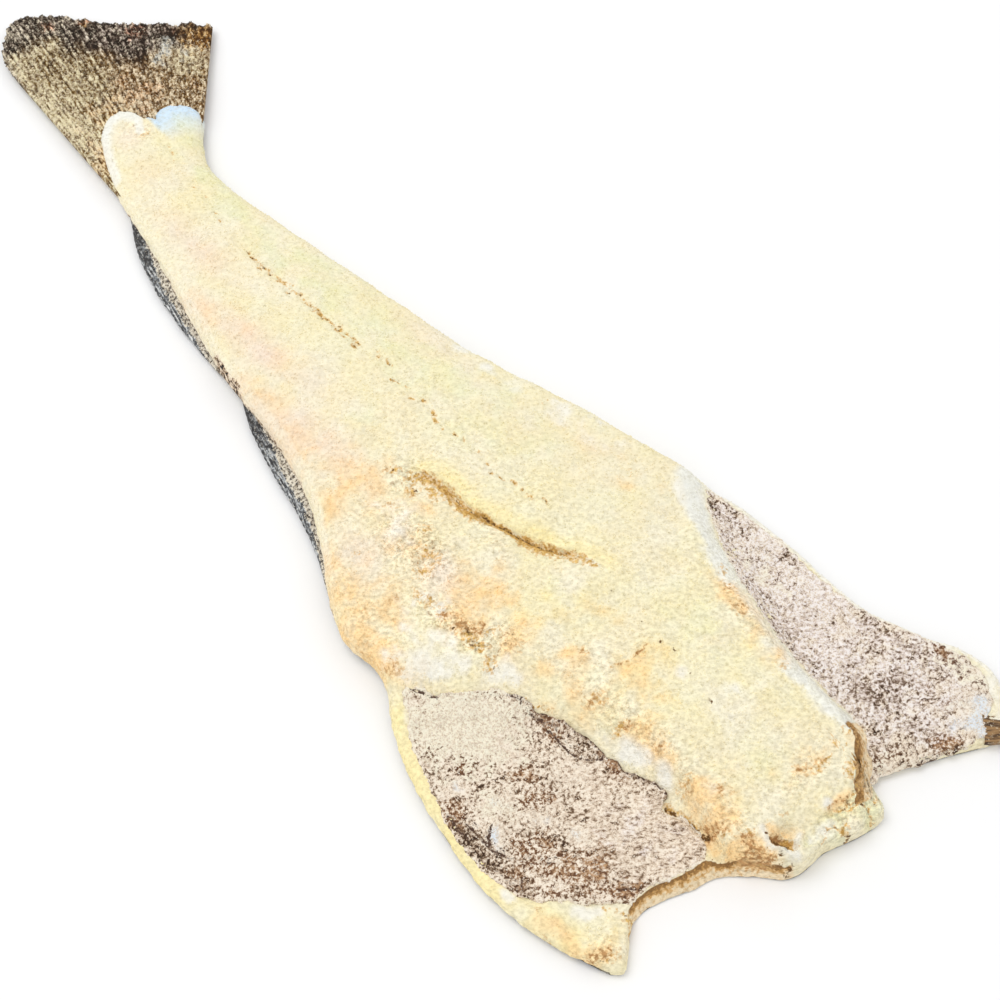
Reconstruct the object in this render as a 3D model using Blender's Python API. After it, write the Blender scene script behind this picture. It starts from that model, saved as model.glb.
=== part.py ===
"""A whole salted and dried cod, split along the belly, headless, opened flat and lying on its skin.

The fish lies along Y with its tail fin towards +Y and the cut neck towards -Y. It is one solid: the
fillets, the two belly flaps, the tail fin, the two anal fins on the left edge and the stub of the
right pectoral fin. The tables are in millimetres, and MM turns them into metres.
"""

import math

import bmesh
import bpy
import numpy as np

MM = 0.001

# Side edges of the body, as (y, x) from the neck to the tail.
LEFT_EDGE = [
    (-306, -113.5), (-298, -117.5), (-280, -125.5), (-260, -130.5), (-240, -133), (-220, -132),
    (-200, -129.5), (-180, -126), (-160, -120), (-142, -112), (-128, -103.5), (-118, -101.5),
    (-98, -104), (-75, -96.5), (-45, -79.5), (-15, -67), (15, -61), (50, -58), (70, -56.5), (88, -53),
    (120, -46), (150, -39.5), (180, -34), (210, -28), (230, -21), (245, -16),
]
RIGHT_EDGE = [
    (-333, 117), (-325, 124), (-316, 128), (-304, 129), (-291, 125), (-281, 119), (-272, 115),
    (-258, 109), (-244, 104.5), (-228, 103), (-195, 101.5), (-165, 97.5), (-138, 90), (-100, 79),
    (-65, 69), (-35, 58.5), (-5, 49), (30, 42), (70, 34.5), (110, 27), (140, 21.5), (165, 18),
    (182, 18.5), (196, 24.5), (212, 36), (245, 44),
]
# The cut neck and the end of the flesh on the tail fin, as (x, y) from left to right.
NECK_END = [
    (-114, -305), (-109, -308.5), (-105, -305.5), (-98, -299), (-91, -293.5), (-83, -292), (-71, -294),
    (-59, -298), (-46, -301), (-38, -305.5), (-30, -313.5), (-22, -322), (-16, -325), (0, -325.5),
    (12, -327.5), (24, -329.5), (33, -331.5), (37, -330), (39, -325), (41, -317), (45, -313),
    (54, -315.5), (69, -322), (84, -328.5), (97, -334.5), (105, -337.5), (112, -337), (117, -333),
]
TAIL_END = [
    (-28, 214), (-20, 230), (-12, 240), (-5, 242.5), (3, 239.5), (9, 231), (13, 224), (18, 228.5),
    (24, 229.5), (30, 225), (36, 213),
]

# Heights of the flesh over the table, as (y, height).
CREST_HEIGHT = [
    (-337, 15), (-318, 18), (-300, 20.5), (-265, 23.5), (-200, 25), (-130, 26), (-60, 27), (30, 26),
    (110, 23), (180, 19), (215, 15), (245, 9),
]
LEFT_FLAP_HEIGHT = [(-310, 7.5), (-290, 8.5), (-230, 9.5), (-150, 11), (-100, 15)]
RIGHT_FLAP_HEIGHT = [(-337, 7), (-300, 8.5), (-230, 8), (-150, 9), (-100, 14)]
EDGE_SHARE = 0.74  # height of the flesh near its edges, as a share of the crest

# Middle of the slopes from the thick fillets down to the thin belly flaps, as (y, x).
LEFT_SHOULDER = [
    (-337, -30), (-300, -37), (-282, -34), (-256, -31), (-235, -34), (-212, -39), (-192, -45),
    (-172, -54), (-157, -66), (-144, -84), (-133, -104), (-120, -125), (-100, -150), (245, -150),
]
RIGHT_SHOULDER = [
    (-337, 17), (-325, 27), (-317, 34), (-310, 40.5), (-303, 47), (-296, 51.5), (-285, 53.5),
    (-250, 54.5), (-225, 58.5), (-200, 65), (-172, 72), (-148, 84), (-125, 104), (-100, 130), (245, 130),
]
LEFT_SLOPE, RIGHT_SLOPE = 20, 13  # widths of those slopes

# The belly lining, a skin on each flap that lies a little lower than the rim of flesh round it.
LINING_RECESS = 1.3
LEFT_RIM, RIGHT_RIM = 9, 5
LEFT_LINING_END, RIGHT_LINING_END = -283, -322

# Seams of the flesh, as (y, x). The backbone's line runs to the tail. The crack is where the front
# part of the backbone was torn out, and it opens at the backbone's line.
BACKBONE = [
    (-337, 24), (-260, 22), (-200, 22), (-165, 26), (-148, 26), (-130, 19), (-104, 10), (-77, 8), (-45, 5),
    (0, 4), (50, -1), (108, -6), (150, -1), (178, 4), (206, 8), (230, 13), (245, 15),
]
CRACK = [
    (-337, -14), (-260, -2), (-200, 7), (-165, 13), (-149, 13), (-139, 9), (-119, -4), (-104, -10),
    (-92, -14), (-79, -18), (-64, -19), (-54, -22), (-44, -30), (-20, -32), (60, -25), (120, -23),
    (180, -13), (215, -6), (245, -3),
]
BACKBONE_DEPTH, BACKBONE_HALF_WIDTH = 2.2, 3.5
BACKBONE_ENDS = (-140, -95, 215, 235)  # y where it starts, is full, starts to fade and ends
CRACK_DEPTH, CRACK_HALF_WIDTH = 4.5, 2.6
CRACK_ENDS = (-150, -130, -58, -44)
CRACK_STEP, CRACK_STEP_WIDTH = 2.5, 45  # the flesh left of the crack lies lower

# Irregular swells of the flesh, and a patch of torn flakes left of the crack.
SWELL, SWELL_LENGTHS = 0.55, (22, 45)
FLAKE, FLAKE_LENGTHS = 0.9, (13, 19)
FLAKE_PATCH, FLAKE_PATCH_RADII = (-52, -85), (30, 38)
# Lumps of torn flesh at the neck, as (x, y, radius, height).
NECK_LUMPS = [
    (-32, -301, 6, 2.5), (-19, -316, 5, 4), (-10, -310, 4, -6), (1, -317, 8, -3), (14, -321, 6, -2.5),
    (24, -323, 5, 3), (33, -326, 6, 5), (40, -290, 6, 2), (46, -297, 5, 2), (22, -303, 7, 1.5),
]
NECK_RAGGEDNESS, NECK_RAGGED_LENGTHS = 0.5, (11, 23)
NECK_RAGGED_FROM, NECK_RAGGED_TO = -38, 42

TOP_ROUNDING, NECK_TOP_ROUNDING, BOTTOM_ROUNDING = 6.5, 4, 11
WALL_TOP, SIDE_WALL_BOTTOM, NECK_WALL_BOTTOM = 0.62, 0.28, 0.09  # shares of the height there

# Columns of faces from the left edge over the crack and the backbone's line to the right edge.
LEFT_COLUMNS, MIDDLE_COLUMNS, RIGHT_COLUMNS = 17, 3, 13
COLUMNS = LEFT_COLUMNS + MIDDLE_COLUMNS + RIGHT_COLUMNS + 4
ROWS = 82

# Tail fin, as points (x, y) along its hidden root and along its trailing edge, left to right.
FIN_ROOT = [(-31, 186), (-24, 197), (-10, 206), (6, 209), (20, 206), (31, 206)]
FIN_MARGIN = [
    (-26.5, 306), (-24, 321), (-19, 330), (-11, 339), (-2.5, 343.5), (9, 339), (24.5, 325.5), (41, 305.5),
    (55, 292), (70, 279), (83.5, 267),
]
FIN_ROOT_Z, FIN_TIP_Z = 7.5, 5
FIN_ROOT_THICKNESS, FIN_TIP_THICKNESS = 5.0, 2.2
FIN_RAYS, FIN_RAY_RELIEF, FIN_FRAY = 14, 0.7, 1.6
FIN_WAVES, FIN_WAVE_HEIGHT = 1.5, 1.6
FIN_ALONG = 11

# Anal fins under the left edge, as (y, reach beyond the body).
REAR_ANAL_FIN = [(72, 0), (95, 4), (120, 7.5), (142, 9), (160, 7.5), (174, 4), (186, 0)]
FRONT_ANAL_FIN = [(-70, 0), (-45, 4), (-20, 8), (2, 9.5), (20, 8), (36, 5), (50, 0)]
ANAL_FIN_INSIDE = 9
ANAL_FIN_ROOT_Z, ANAL_FIN_TIP_Z = 7, 3.2
ANAL_FIN_ROOT_THICKNESS, ANAL_FIN_TIP_THICKNESS = 5, 2.0
ANAL_FIN_ALONG, ANAL_FIN_ACROSS, ANAL_FIN_RELIEF = 26, 3, 0.6

# Stub of the right pectoral fin, at the corner of the right flap.
PECTORAL_ROOT, PECTORAL_TIP = (104, -329), (120, -342)
PECTORAL_ROOT_WIDTH, PECTORAL_TIP_WIDTH = 17, 13
PECTORAL_Z, PECTORAL_ROOT_THICKNESS, PECTORAL_TIP_THICKNESS = 4.6, 6.4, 4.2


def smooth_line(points):
    """A function through the points (a, b), with a cubic between each two."""
    a = np.array([p[0] for p in points], float)
    b = np.array([p[1] for p in points], float)
    slope = np.gradient(b, a)

    def value(at):
        at = np.clip(np.asarray(at, float), a[0], a[-1])
        k = np.clip(np.searchsorted(a, at) - 1, 0, len(a) - 2)
        span = a[k + 1] - a[k]
        t = (at - a[k]) / span
        start = (1 + 2 * t) * (1 - t) ** 2 * b[k] + t * (1 - t) ** 2 * span * slope[k]
        end = t**2 * (3 - 2 * t) * b[k + 1] - t**2 * (1 - t) * span * slope[k + 1]
        return start + end

    return value


left_edge, right_edge = smooth_line(LEFT_EDGE), smooth_line(RIGHT_EDGE)
neck_line, tail_line = smooth_line(NECK_END), smooth_line(TAIL_END)
crest_height = smooth_line(CREST_HEIGHT)
left_flap_height, right_flap_height = smooth_line(LEFT_FLAP_HEIGHT), smooth_line(RIGHT_FLAP_HEIGHT)
left_shoulder, right_shoulder = smooth_line(LEFT_SHOULDER), smooth_line(RIGHT_SHOULDER)
backbone, crack = smooth_line(BACKBONE), smooth_line(CRACK)


def ramp(value, start, end):
    """0 before start, 1 after end, and a smooth rise between them."""
    t = np.clip((value - start) / (end - start), 0, 1)
    return t * t * (3 - 2 * t)


def rounded(distance, radius):
    """The profile of a quarter circle: 0 at an edge and 1 from radius inwards."""
    t = 1 - np.clip(distance / radius, 0, 1)
    return np.sqrt(1 - t * t)


def waves(x, y, lengths, seed, count=14):
    """Irregular waves about 1 high, whose directions and phases are drawn with a seed."""
    draw = np.random.default_rng(seed)
    total = 0
    for _ in range(count):
        length = draw.uniform(*lengths)
        heading, phase = draw.uniform(0, 2 * math.pi, 2)
        run = x * math.cos(heading) + y * math.sin(heading)
        total = total + np.sin(2 * math.pi * run / length + phase)
    return total / math.sqrt(count / 2)


def along(at, ends):
    """1 between the second and third end, falling to 0 at the first and fourth."""
    return ramp(at, ends[0], ends[1]) * (1 - ramp(at, ends[2], ends[3]))


def neck_end(x):
    """The line of the cut neck, ragged across the fillets."""
    ragged = along(x, (NECK_RAGGED_FROM - 6, NECK_RAGGED_FROM + 6, NECK_RAGGED_TO - 6, NECK_RAGGED_TO + 6))
    return neck_line(x) + NECK_RAGGEDNESS * ragged * waves(x, 0, NECK_RAGGED_LENGTHS, seed=5)


def right_of(line, x, y):
    """Distance of each point from a line that is given as (y, x), negative on its left."""
    line_y = np.linspace(-337, 245, 292)
    line_x = line(line_y)
    away = np.full(x.shape, np.inf)
    for a, b in zip(line_x, line_y):
        away = np.minimum(away, np.hypot(x - a, y - b))
    return np.where(x > line(y), away, -away)


def lining(x, y, past_left, past_right):
    """1 inside the linings of the two flaps and 0 on the flesh."""
    left = ramp(x, left_edge(y) + LEFT_RIM - 3, left_edge(y) + LEFT_RIM + 3)
    left = left * ramp(-past_left, LEFT_SLOPE / 2 - 3, LEFT_SLOPE / 2 + 3)
    left = left * ramp(y, LEFT_LINING_END - 4, LEFT_LINING_END + 4)
    right = ramp(right_edge(y) - x, RIGHT_RIM - 3, RIGHT_RIM + 3)
    right = right * ramp(past_right, RIGHT_SLOPE / 2 - 3, RIGHT_SLOPE / 2 + 3)
    right = right * ramp(y, RIGHT_LINING_END - 4, RIGHT_LINING_END + 4)
    return left + right


def flesh_height(x, y):
    """Height of the upper surface, before its edges are rounded."""
    middle = (left_edge(y) + right_edge(y)) / 2
    half_width = (right_edge(y) - left_edge(y)) / 2
    outward = np.clip(np.abs(x - middle) / half_width, 0, 1)
    height = crest_height(y) * (1 - (1 - EDGE_SHARE) * outward**2.2)
    past_left, past_right = right_of(left_shoulder, x, y), right_of(right_shoulder, x, y)
    height = height + (left_flap_height(y) - height) * ramp(-past_left, -LEFT_SLOPE / 2, LEFT_SLOPE / 2)
    height = height + (right_flap_height(y) - height) * ramp(past_right, -RIGHT_SLOPE / 2, RIGHT_SLOPE / 2)
    height = height - LINING_RECESS * lining(x, y, past_left, past_right)

    off_backbone = np.clip(np.abs(x - backbone(y)) / BACKBONE_HALF_WIDTH, 0, 1)
    height = height - BACKBONE_DEPTH * (1 - off_backbone) * along(y, BACKBONE_ENDS)
    left_of_crack = crack(y) - x
    gap = 1 - np.clip(np.abs(left_of_crack) / CRACK_HALF_WIDTH, 0, 1)
    beside = along(left_of_crack, (0, CRACK_HALF_WIDTH, CRACK_HALF_WIDTH, CRACK_STEP_WIDTH))
    height = height - along(y, CRACK_ENDS) * (CRACK_DEPTH * gap + CRACK_STEP * beside)

    patch_x, patch_y = FLAKE_PATCH
    off_patch = ((x - patch_x) / FLAKE_PATCH_RADII[0]) ** 2 + ((y - patch_y) / FLAKE_PATCH_RADII[1]) ** 2
    height = height + FLAKE * waves(x, y, FLAKE_LENGTHS, seed=7) * np.exp(-off_patch)
    for lump_x, lump_y, radius, lump in NECK_LUMPS:
        height = height + lump * np.exp(-((x - lump_x) ** 2 + (y - lump_y) ** 2) / radius**2)
    return height + SWELL * waves(x, y, SWELL_LENGTHS, seed=3)


def spaced(count, finer_start, finer_end):
    """Positions from 0 to 1 whose steps are smaller near the ends by those shares."""
    step = np.arange(count)
    size = 1 - finer_start * np.exp(-step / 3.5) - finer_end * np.exp(-step[::-1] / 3.5)
    return np.concatenate([[0], np.cumsum(size)]) / size.sum()


def column_x(y):
    """x of each column of points for an array with one y per column."""
    lines = [
        left_edge(y), crack(y) - CRACK_HALF_WIDTH, crack(y), crack(y) + CRACK_HALF_WIDTH,
        backbone(y) - BACKBONE_HALF_WIDTH, backbone(y), backbone(y) + BACKBONE_HALF_WIDTH, right_edge(y),
    ]
    even = np.linspace(0, 1, MIDDLE_COLUMNS + 1)
    one = np.array([0, 1])
    shares = [spaced(LEFT_COLUMNS, 0.6, 0), one, one, even, one, one, spaced(RIGHT_COLUMNS, 0, 0.6)]
    x, column = [], 0
    for k, share in enumerate(shares):
        for s in share if k == 0 else share[1:]:
            x.append(lines[k][column] + (lines[k + 1][column] - lines[k][column]) * s)
            column += 1
    return np.array(x)


def end_row(line, first_y):
    """The (x, y) of the columns at one end of the body, where they meet the line of that end."""
    y = np.full(COLUMNS + 1, float(first_y))
    for _ in range(30):
        y = (y + line(column_x(y))) / 2
    return column_x(y), y


def slab(name, across, rows, lower_points, upper_points):
    """A closed solid from a grid of faces, whose lower and upper points are given row by row."""
    mesh = bmesh.new()
    bmesh.ops.create_grid(mesh, x_segments=across, y_segments=rows, size=0.5)
    lower = mesh.verts[:]
    extruded = bmesh.ops.extrude_face_region(mesh, geom=mesh.faces[:])["geom"]
    upper = [v for v in extruded if isinstance(v, bmesh.types.BMVert)]
    for vertices, points in ((lower, lower_points), (upper, upper_points)):
        ordered = sorted(vertices, key=lambda v: (round(v.co.y, 5), round(v.co.x, 5)))
        for vertex, point in zip(ordered, points.reshape(-1, 3)):
            vertex.co = point * MM
    bmesh.ops.recalc_face_normals(mesh, faces=mesh.faces[:])
    bmesh.ops.triangulate(mesh, faces=mesh.faces[:], quad_method="SHORT_EDGE")
    data = bpy.data.meshes.new(name)
    mesh.to_mesh(data)
    mesh.free()
    return bpy.data.objects.new(name, data)


def body():
    """The fillets and flaps, with rounded edges and a flat underside."""
    _, neck_y = end_row(neck_end, -320)
    _, tail_y = end_row(tail_line, 225)
    y = neck_y + (tail_y - neck_y) * spaced(ROWS, 0.6, 0.5)[:, None]
    x = np.array([column_x(row) for row in y])
    to_side = np.minimum(x - left_edge(y), right_edge(y) - x)
    to_neck, to_tail = y - neck_y, tail_y - y
    edge = rounded(np.minimum(to_side, to_tail), TOP_ROUNDING) * rounded(to_neck, NECK_TOP_ROUNDING)
    height = flesh_height(x, y)
    top = height * (WALL_TOP + (1 - WALL_TOP) * edge)
    side_lift = SIDE_WALL_BOTTOM * (1 - rounded(np.minimum(to_side, to_tail), BOTTOM_ROUNDING))
    neck_lift = NECK_WALL_BOTTOM * (1 - rounded(to_neck, NECK_TOP_ROUNDING))
    bottom = height * np.maximum(side_lift, neck_lift)
    return slab("salt_cod", COLUMNS, ROWS, np.stack([x, y, bottom], -1), np.stack([x, y, top], -1))


def tail_fin():
    """The fanned tail fin, with a ridge and a longer frayed tip for each ray."""
    columns = 2 * FIN_RAYS
    shares = np.linspace(0, 1, columns + 1)
    on_ray = np.arange(columns + 1) % 2
    root_x = FIN_ROOT[0][0] + (FIN_ROOT[-1][0] - FIN_ROOT[0][0]) * shares
    margin_x = FIN_MARGIN[0][0] + (FIN_MARGIN[-1][0] - FIN_MARGIN[0][0]) * shares
    root = np.stack([root_x, smooth_line(FIN_ROOT)(root_x)], -1)
    margin = np.stack([margin_x, smooth_line(FIN_MARGIN)(margin_x)], -1)
    ray = margin - root
    draw = np.random.default_rng(11)
    longer = FIN_FRAY * (on_ray - draw.uniform(0.2, 1, columns + 1))
    margin = margin + ray / np.hypot(*ray.T)[:, None] * longer[:, None]
    out = np.linspace(0, 1, FIN_ALONG + 1)[:, None, None]
    flat = root + (margin - root) * out
    out = out[..., 0]
    middle = FIN_ROOT_Z + (FIN_TIP_Z - FIN_ROOT_Z) * out
    middle = middle + FIN_WAVE_HEIGHT * np.sin(2 * math.pi * FIN_WAVES * shares) * out
    half = (FIN_ROOT_THICKNESS + (FIN_TIP_THICKNESS - FIN_ROOT_THICKNESS) * out) / 2
    ridge = FIN_RAY_RELIEF * (on_ray - 0.5) * ramp(out, 0, 0.3)
    lower, upper = np.dstack([flat, middle - half]), np.dstack([flat, middle + half + ridge])
    return slab("tail_fin", columns, FIN_ALONG, lower, upper)


def anal_fin(name, profile):
    """A low ribbed fin that runs out from under the left edge."""
    reach = smooth_line(profile)
    y = np.linspace(profile[0][0], profile[-1][0], ANAL_FIN_ALONG + 1)[:, None]
    out = np.linspace(0, 1, ANAL_FIN_ACROSS + 1)
    on_rib = (np.arange(ANAL_FIN_ALONG + 1) % 2)[:, None]
    beyond = np.maximum(reach(y), 0) * (0.9 + 0.15 * on_rib)
    x = left_edge(y) + ANAL_FIN_INSIDE - (ANAL_FIN_INSIDE + beyond) * out
    middle = ANAL_FIN_ROOT_Z + (ANAL_FIN_TIP_Z - ANAL_FIN_ROOT_Z) * out + 0 * y
    half = (ANAL_FIN_ROOT_THICKNESS + (ANAL_FIN_TIP_THICKNESS - ANAL_FIN_ROOT_THICKNESS) * out) / 2
    rib = ANAL_FIN_RELIEF * (on_rib - 0.5)
    y = y + 0 * out
    lower, upper = np.stack([x, y, middle - half], -1), np.stack([x, y, middle + half + rib], -1)
    return slab(name, ANAL_FIN_ACROSS, ANAL_FIN_ALONG, lower, upper)


def pectoral_stub():
    """The trimmed pectoral fin at the corner of the right flap."""
    root, tip = np.array(PECTORAL_ROOT, float), np.array(PECTORAL_TIP, float)
    outward = (tip - root) / np.hypot(*(tip - root))
    sideways = np.array([-outward[1], outward[0]])
    across, out = np.meshgrid(np.linspace(-0.5, 0.5, 5), np.linspace(0, 1, 5))
    width = PECTORAL_ROOT_WIDTH + (PECTORAL_TIP_WIDTH - PECTORAL_ROOT_WIDTH) * out
    flat = root + (tip - root) * out[..., None] + sideways * (across * width)[..., None]
    half = (PECTORAL_ROOT_THICKNESS + (PECTORAL_TIP_THICKNESS - PECTORAL_ROOT_THICKNESS) * out) / 2
    half = half * (1 - 1.6 * across**2)
    lower, upper = np.dstack([flat, PECTORAL_Z - half]), np.dstack([flat, PECTORAL_Z + half])
    return slab("pectoral_stub", 4, 4, lower, upper)


def salted_flesh():
    material = bpy.data.materials.new("salted_flesh")
    material.use_nodes = True
    shader = material.node_tree.nodes["Principled BSDF"]
    shader.inputs["Base Color"].default_value = (0.86, 0.74, 0.52, 1)
    shader.inputs["Roughness"].default_value = 0.75
    shader.inputs["Metallic"].default_value = 0
    return material


def join_all(target, others):
    """Joins the other solids to target with one Boolean union, applies it and removes them."""
    tools = bpy.data.collections.new("joined")
    bpy.context.scene.collection.children.link(tools)
    for other in others:
        tools.objects.link(other)
    union = target.modifiers.new("join", "BOOLEAN")
    union.operation = "UNION"
    union.solver = "EXACT"
    union.operand_type = "COLLECTION"
    union.collection = tools
    graph = bpy.context.evaluated_depsgraph_get()
    joined = bpy.data.meshes.new_from_object(target.evaluated_get(graph))
    target.modifiers.clear()
    target.data = joined
    for other in others:
        bpy.data.objects.remove(other)
    bpy.data.collections.remove(tools)


def weld(data):
    """Merges the points that the union left almost on each other."""
    mesh = bmesh.new()
    mesh.from_mesh(data)
    bmesh.ops.remove_doubles(mesh, verts=mesh.verts[:], dist=0.02 * MM)
    bmesh.ops.dissolve_degenerate(mesh, edges=mesh.edges[:], dist=0.001 * MM)
    mesh.to_mesh(data)
    mesh.free()


def centre_on_origin(item):
    """Moves the mesh so that the middle of its box lies over the origin."""
    x = [v.co.x for v in item.data.vertices]
    y = [v.co.y for v in item.data.vertices]
    shift = ((min(x) + max(x)) / 2, (min(y) + max(y)) / 2)
    for vertex in item.data.vertices:
        vertex.co.x -= shift[0]
        vertex.co.y -= shift[1]
    print("moved by", [round(-s / MM, 3) for s in shift], "mm;", len(item.data.polygons), "faces")


def main():
    for old in list(bpy.data.objects):
        bpy.data.objects.remove(old)
    fish = bpy.data.collections.new("salt_cod")
    bpy.context.scene.collection.children.link(fish)
    cod = body()
    fish.objects.link(cod)
    rear = anal_fin("rear_anal_fin", REAR_ANAL_FIN)
    front = anal_fin("front_anal_fin", FRONT_ANAL_FIN)
    join_all(cod, [tail_fin(), rear, front, pectoral_stub()])
    weld(cod.data)
    centre_on_origin(cod)
    cod.data.materials.clear()
    cod.data.materials.append(salted_flesh())
    cod.data.shade_smooth()
    cod.data.set_sharp_from_angle(angle=math.radians(50))


main()
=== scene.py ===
"""Looks of a whole salted and dried cod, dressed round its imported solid.

Tables and shape functions are in millimetres in the frame that the fish was drawn in, with its tail
fin towards +Y. place() turns such points into metres of the row's frame. All pieces ride on the root.
A mask is an array with a value from 0 to about 1 for each point. A table of areas, stains or spots
lists (x, y, radius x, radius y, turn in degrees, strength).
"""

import math

import bpy
import numpy as np
from mathutils import Matrix, Vector


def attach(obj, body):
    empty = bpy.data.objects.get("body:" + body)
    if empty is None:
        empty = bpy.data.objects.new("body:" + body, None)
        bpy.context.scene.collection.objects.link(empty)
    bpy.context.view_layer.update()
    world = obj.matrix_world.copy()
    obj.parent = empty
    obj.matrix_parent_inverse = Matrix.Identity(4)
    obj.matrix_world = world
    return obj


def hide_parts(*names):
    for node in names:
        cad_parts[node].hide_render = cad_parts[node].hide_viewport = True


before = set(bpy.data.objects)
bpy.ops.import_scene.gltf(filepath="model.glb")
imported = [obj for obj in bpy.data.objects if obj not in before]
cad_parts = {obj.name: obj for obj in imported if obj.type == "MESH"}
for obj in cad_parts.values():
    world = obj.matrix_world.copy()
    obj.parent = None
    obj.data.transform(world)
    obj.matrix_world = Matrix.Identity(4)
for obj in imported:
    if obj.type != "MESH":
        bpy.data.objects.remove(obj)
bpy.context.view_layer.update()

MM = 0.001
SHIFT = np.array([1.982, 1.38, 0])  # from the drawn frame to the row's frame

# Shape of the solid, as in the CAD.

# Side edges of the body, as (y, x) from the neck to the tail.
LEFT_EDGE = [
    (-306, -113.5), (-298, -117.5), (-280, -125.5), (-260, -130.5), (-240, -133), (-220, -132),
    (-200, -129.5), (-180, -126), (-160, -120), (-142, -112), (-128, -103.5), (-118, -101.5),
    (-98, -104), (-75, -96.5), (-45, -79.5), (-15, -67), (15, -61), (50, -58), (70, -56.5),
    (88, -53), (120, -46), (150, -39.5), (180, -34), (210, -28), (230, -21), (245, -16),
]
RIGHT_EDGE = [
    (-333, 117), (-325, 124), (-316, 128), (-304, 129), (-291, 125), (-281, 119), (-272, 115),
    (-258, 109), (-244, 104.5), (-228, 103), (-195, 101.5), (-165, 97.5), (-138, 90), (-100, 79),
    (-65, 69), (-35, 58.5), (-5, 49), (30, 42), (70, 34.5), (110, 27), (140, 21.5), (165, 18),
    (182, 18.5), (196, 24.5), (212, 36), (245, 44),
]
# The cut neck, as (x, y) from left to right.
NECK_END = [
    (-114, -305), (-109, -308.5), (-105, -305.5), (-98, -299), (-91, -293.5), (-83, -292),
    (-71, -294), (-59, -298), (-46, -301), (-38, -305.5), (-30, -313.5), (-22, -322), (-16, -325),
    (0, -325.5), (12, -327.5), (24, -329.5), (33, -331.5), (37, -330), (39, -325), (41, -317),
    (45, -313), (54, -315.5), (69, -322), (84, -328.5), (97, -334.5), (105, -337.5), (112, -337),
    (117, -333),
]
# The end of the flesh on the tail fin, as (x, y) from left to right.
TAIL_END = [
    (-28, 214), (-20.5, 228), (-15.5, 238), (-9, 244.3), (-1.5, 246.8), (4.3, 245), (8, 240),
    (10, 233.5), (12.6, 232), (14.8, 228.5), (17.5, 230.5), (24.5, 232.3), (30, 229.5), (35, 224.5),
    (38.5, 214),
]

# Heights of the flesh over the table, as (y, height).
CREST_HEIGHT = [
    (-337, 15), (-318, 18), (-300, 20.5), (-265, 23.5), (-200, 25), (-130, 26), (-60, 27), (30, 26),
    (110, 23), (180, 19), (215, 15.5), (250, 13),
]
LEFT_FLAP_HEIGHT = [(-310, 7.5), (-290, 8.5), (-230, 9.5), (-150, 11), (-100, 15)]
RIGHT_FLAP_HEIGHT = [(-337, 7), (-300, 8.5), (-230, 8), (-150, 9), (-100, 14)]
# Height of the flesh at its edges as a share of the crest, and the curve of the fall to it.
EDGE_SHARE, EDGE_FALL = 0.74, 2.2

# Middle of the slopes from the thick fillets down to the thin belly flaps, as (y, x).
LEFT_SHOULDER = [
    (-337, -30), (-300, -37), (-282, -34), (-256, -31), (-235, -34), (-212, -39), (-192, -45),
    (-172, -54), (-157, -66), (-144, -84), (-133, -104), (-120, -125), (-100, -150), (245, -150),
]
RIGHT_SHOULDER = [
    (-337, 17), (-325, 27), (-317, 34), (-310, 40.5), (-303, 47), (-296, 51.5), (-285, 53.5),
    (-250, 54.5), (-225, 58.5), (-200, 65), (-172, 72), (-148, 84), (-125, 104), (-100, 130),
    (245, 130),
]
# Widths of those slopes, as (y, width).
LEFT_SLOPE = [(-337, 7), (-278, 7), (-262, 12), (-240, 20), (245, 20)]
RIGHT_SLOPE = [(-337, 9), (-290, 9), (-265, 13), (245, 13)]

LINING_RECESS = 1.3
LEFT_RIM, RIGHT_RIM = 9, 5
LEFT_LINING_END, RIGHT_LINING_END = -283, -322
LINING_SOFTNESS, LINING_END_SOFTNESS = 3, 4

# Seams of the flesh, as (y, x).
BACKBONE = [
    (-337, 24), (-260, 22), (-200, 22), (-165, 26), (-148, 26), (-130, 19), (-104, 11), (-77, 9),
    (-45, 7), (0, 6), (27, 3.5), (50, 1), (80, -2), (108, -4.5), (150, 0), (178, 4), (206, 8),
    (230, 13), (245, 15),
]
CRACK = [
    (-337, -14), (-260, -2), (-200, 7), (-165, 12.5), (-149, 12.3), (-140, 9), (-130, 2.5),
    (-120, -2.5), (-108, -7.7), (-93, -12.5), (-82, -15.4), (-65, -17.6), (-54, -21), (-44, -29),
    (-20, -32), (60, -25), (120, -23), (180, -13), (215, -6), (245, -3),
]
BACKBONE_DEPTH, BACKBONE_HALF_WIDTH = 0.8, 3.5
BACKBONE_ENDS = (-140, -95, 215, 235)
CRACK_DEPTH, CRACK_HALF_WIDTH = 4.5, 2.6
CRACK_ENDS = (-150, -130, -58, -44)
CRACK_STEP, CRACK_STEP_WIDTH = 2.5, 45

SWELL, SWELL_LENGTHS = 0.55, (22, 45)
FLAKE, FLAKE_LENGTHS = 0.9, (13, 19)
FLAKE_PATCH, FLAKE_PATCH_RADII = (-52, -85), (30, 38)
NECK_LUMPS = [
    (-32, -301, 6, 2.5), (-19, -316, 5, 4), (-10, -310, 4, -6), (1, -317, 8, -3),
    (14, -321, 6, -2.5), (24, -323, 5, 3), (33, -326, 6, 5), (40, -290, 6, 2), (46, -297, 5, 2),
    (22, -303, 7, 1.5),
]
NECK_RAGGEDNESS, NECK_RAGGED_LENGTHS = 0.5, (11, 23)
NECK_RAGGED_ENDS = (-44, -32, 36, 48)

TOP_ROUNDING, NECK_TOP_ROUNDING, BOTTOM_ROUNDING = 6.5, 4, 11
WALL_TOP, SIDE_WALL_BOTTOM = 0.62, 0.28

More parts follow.
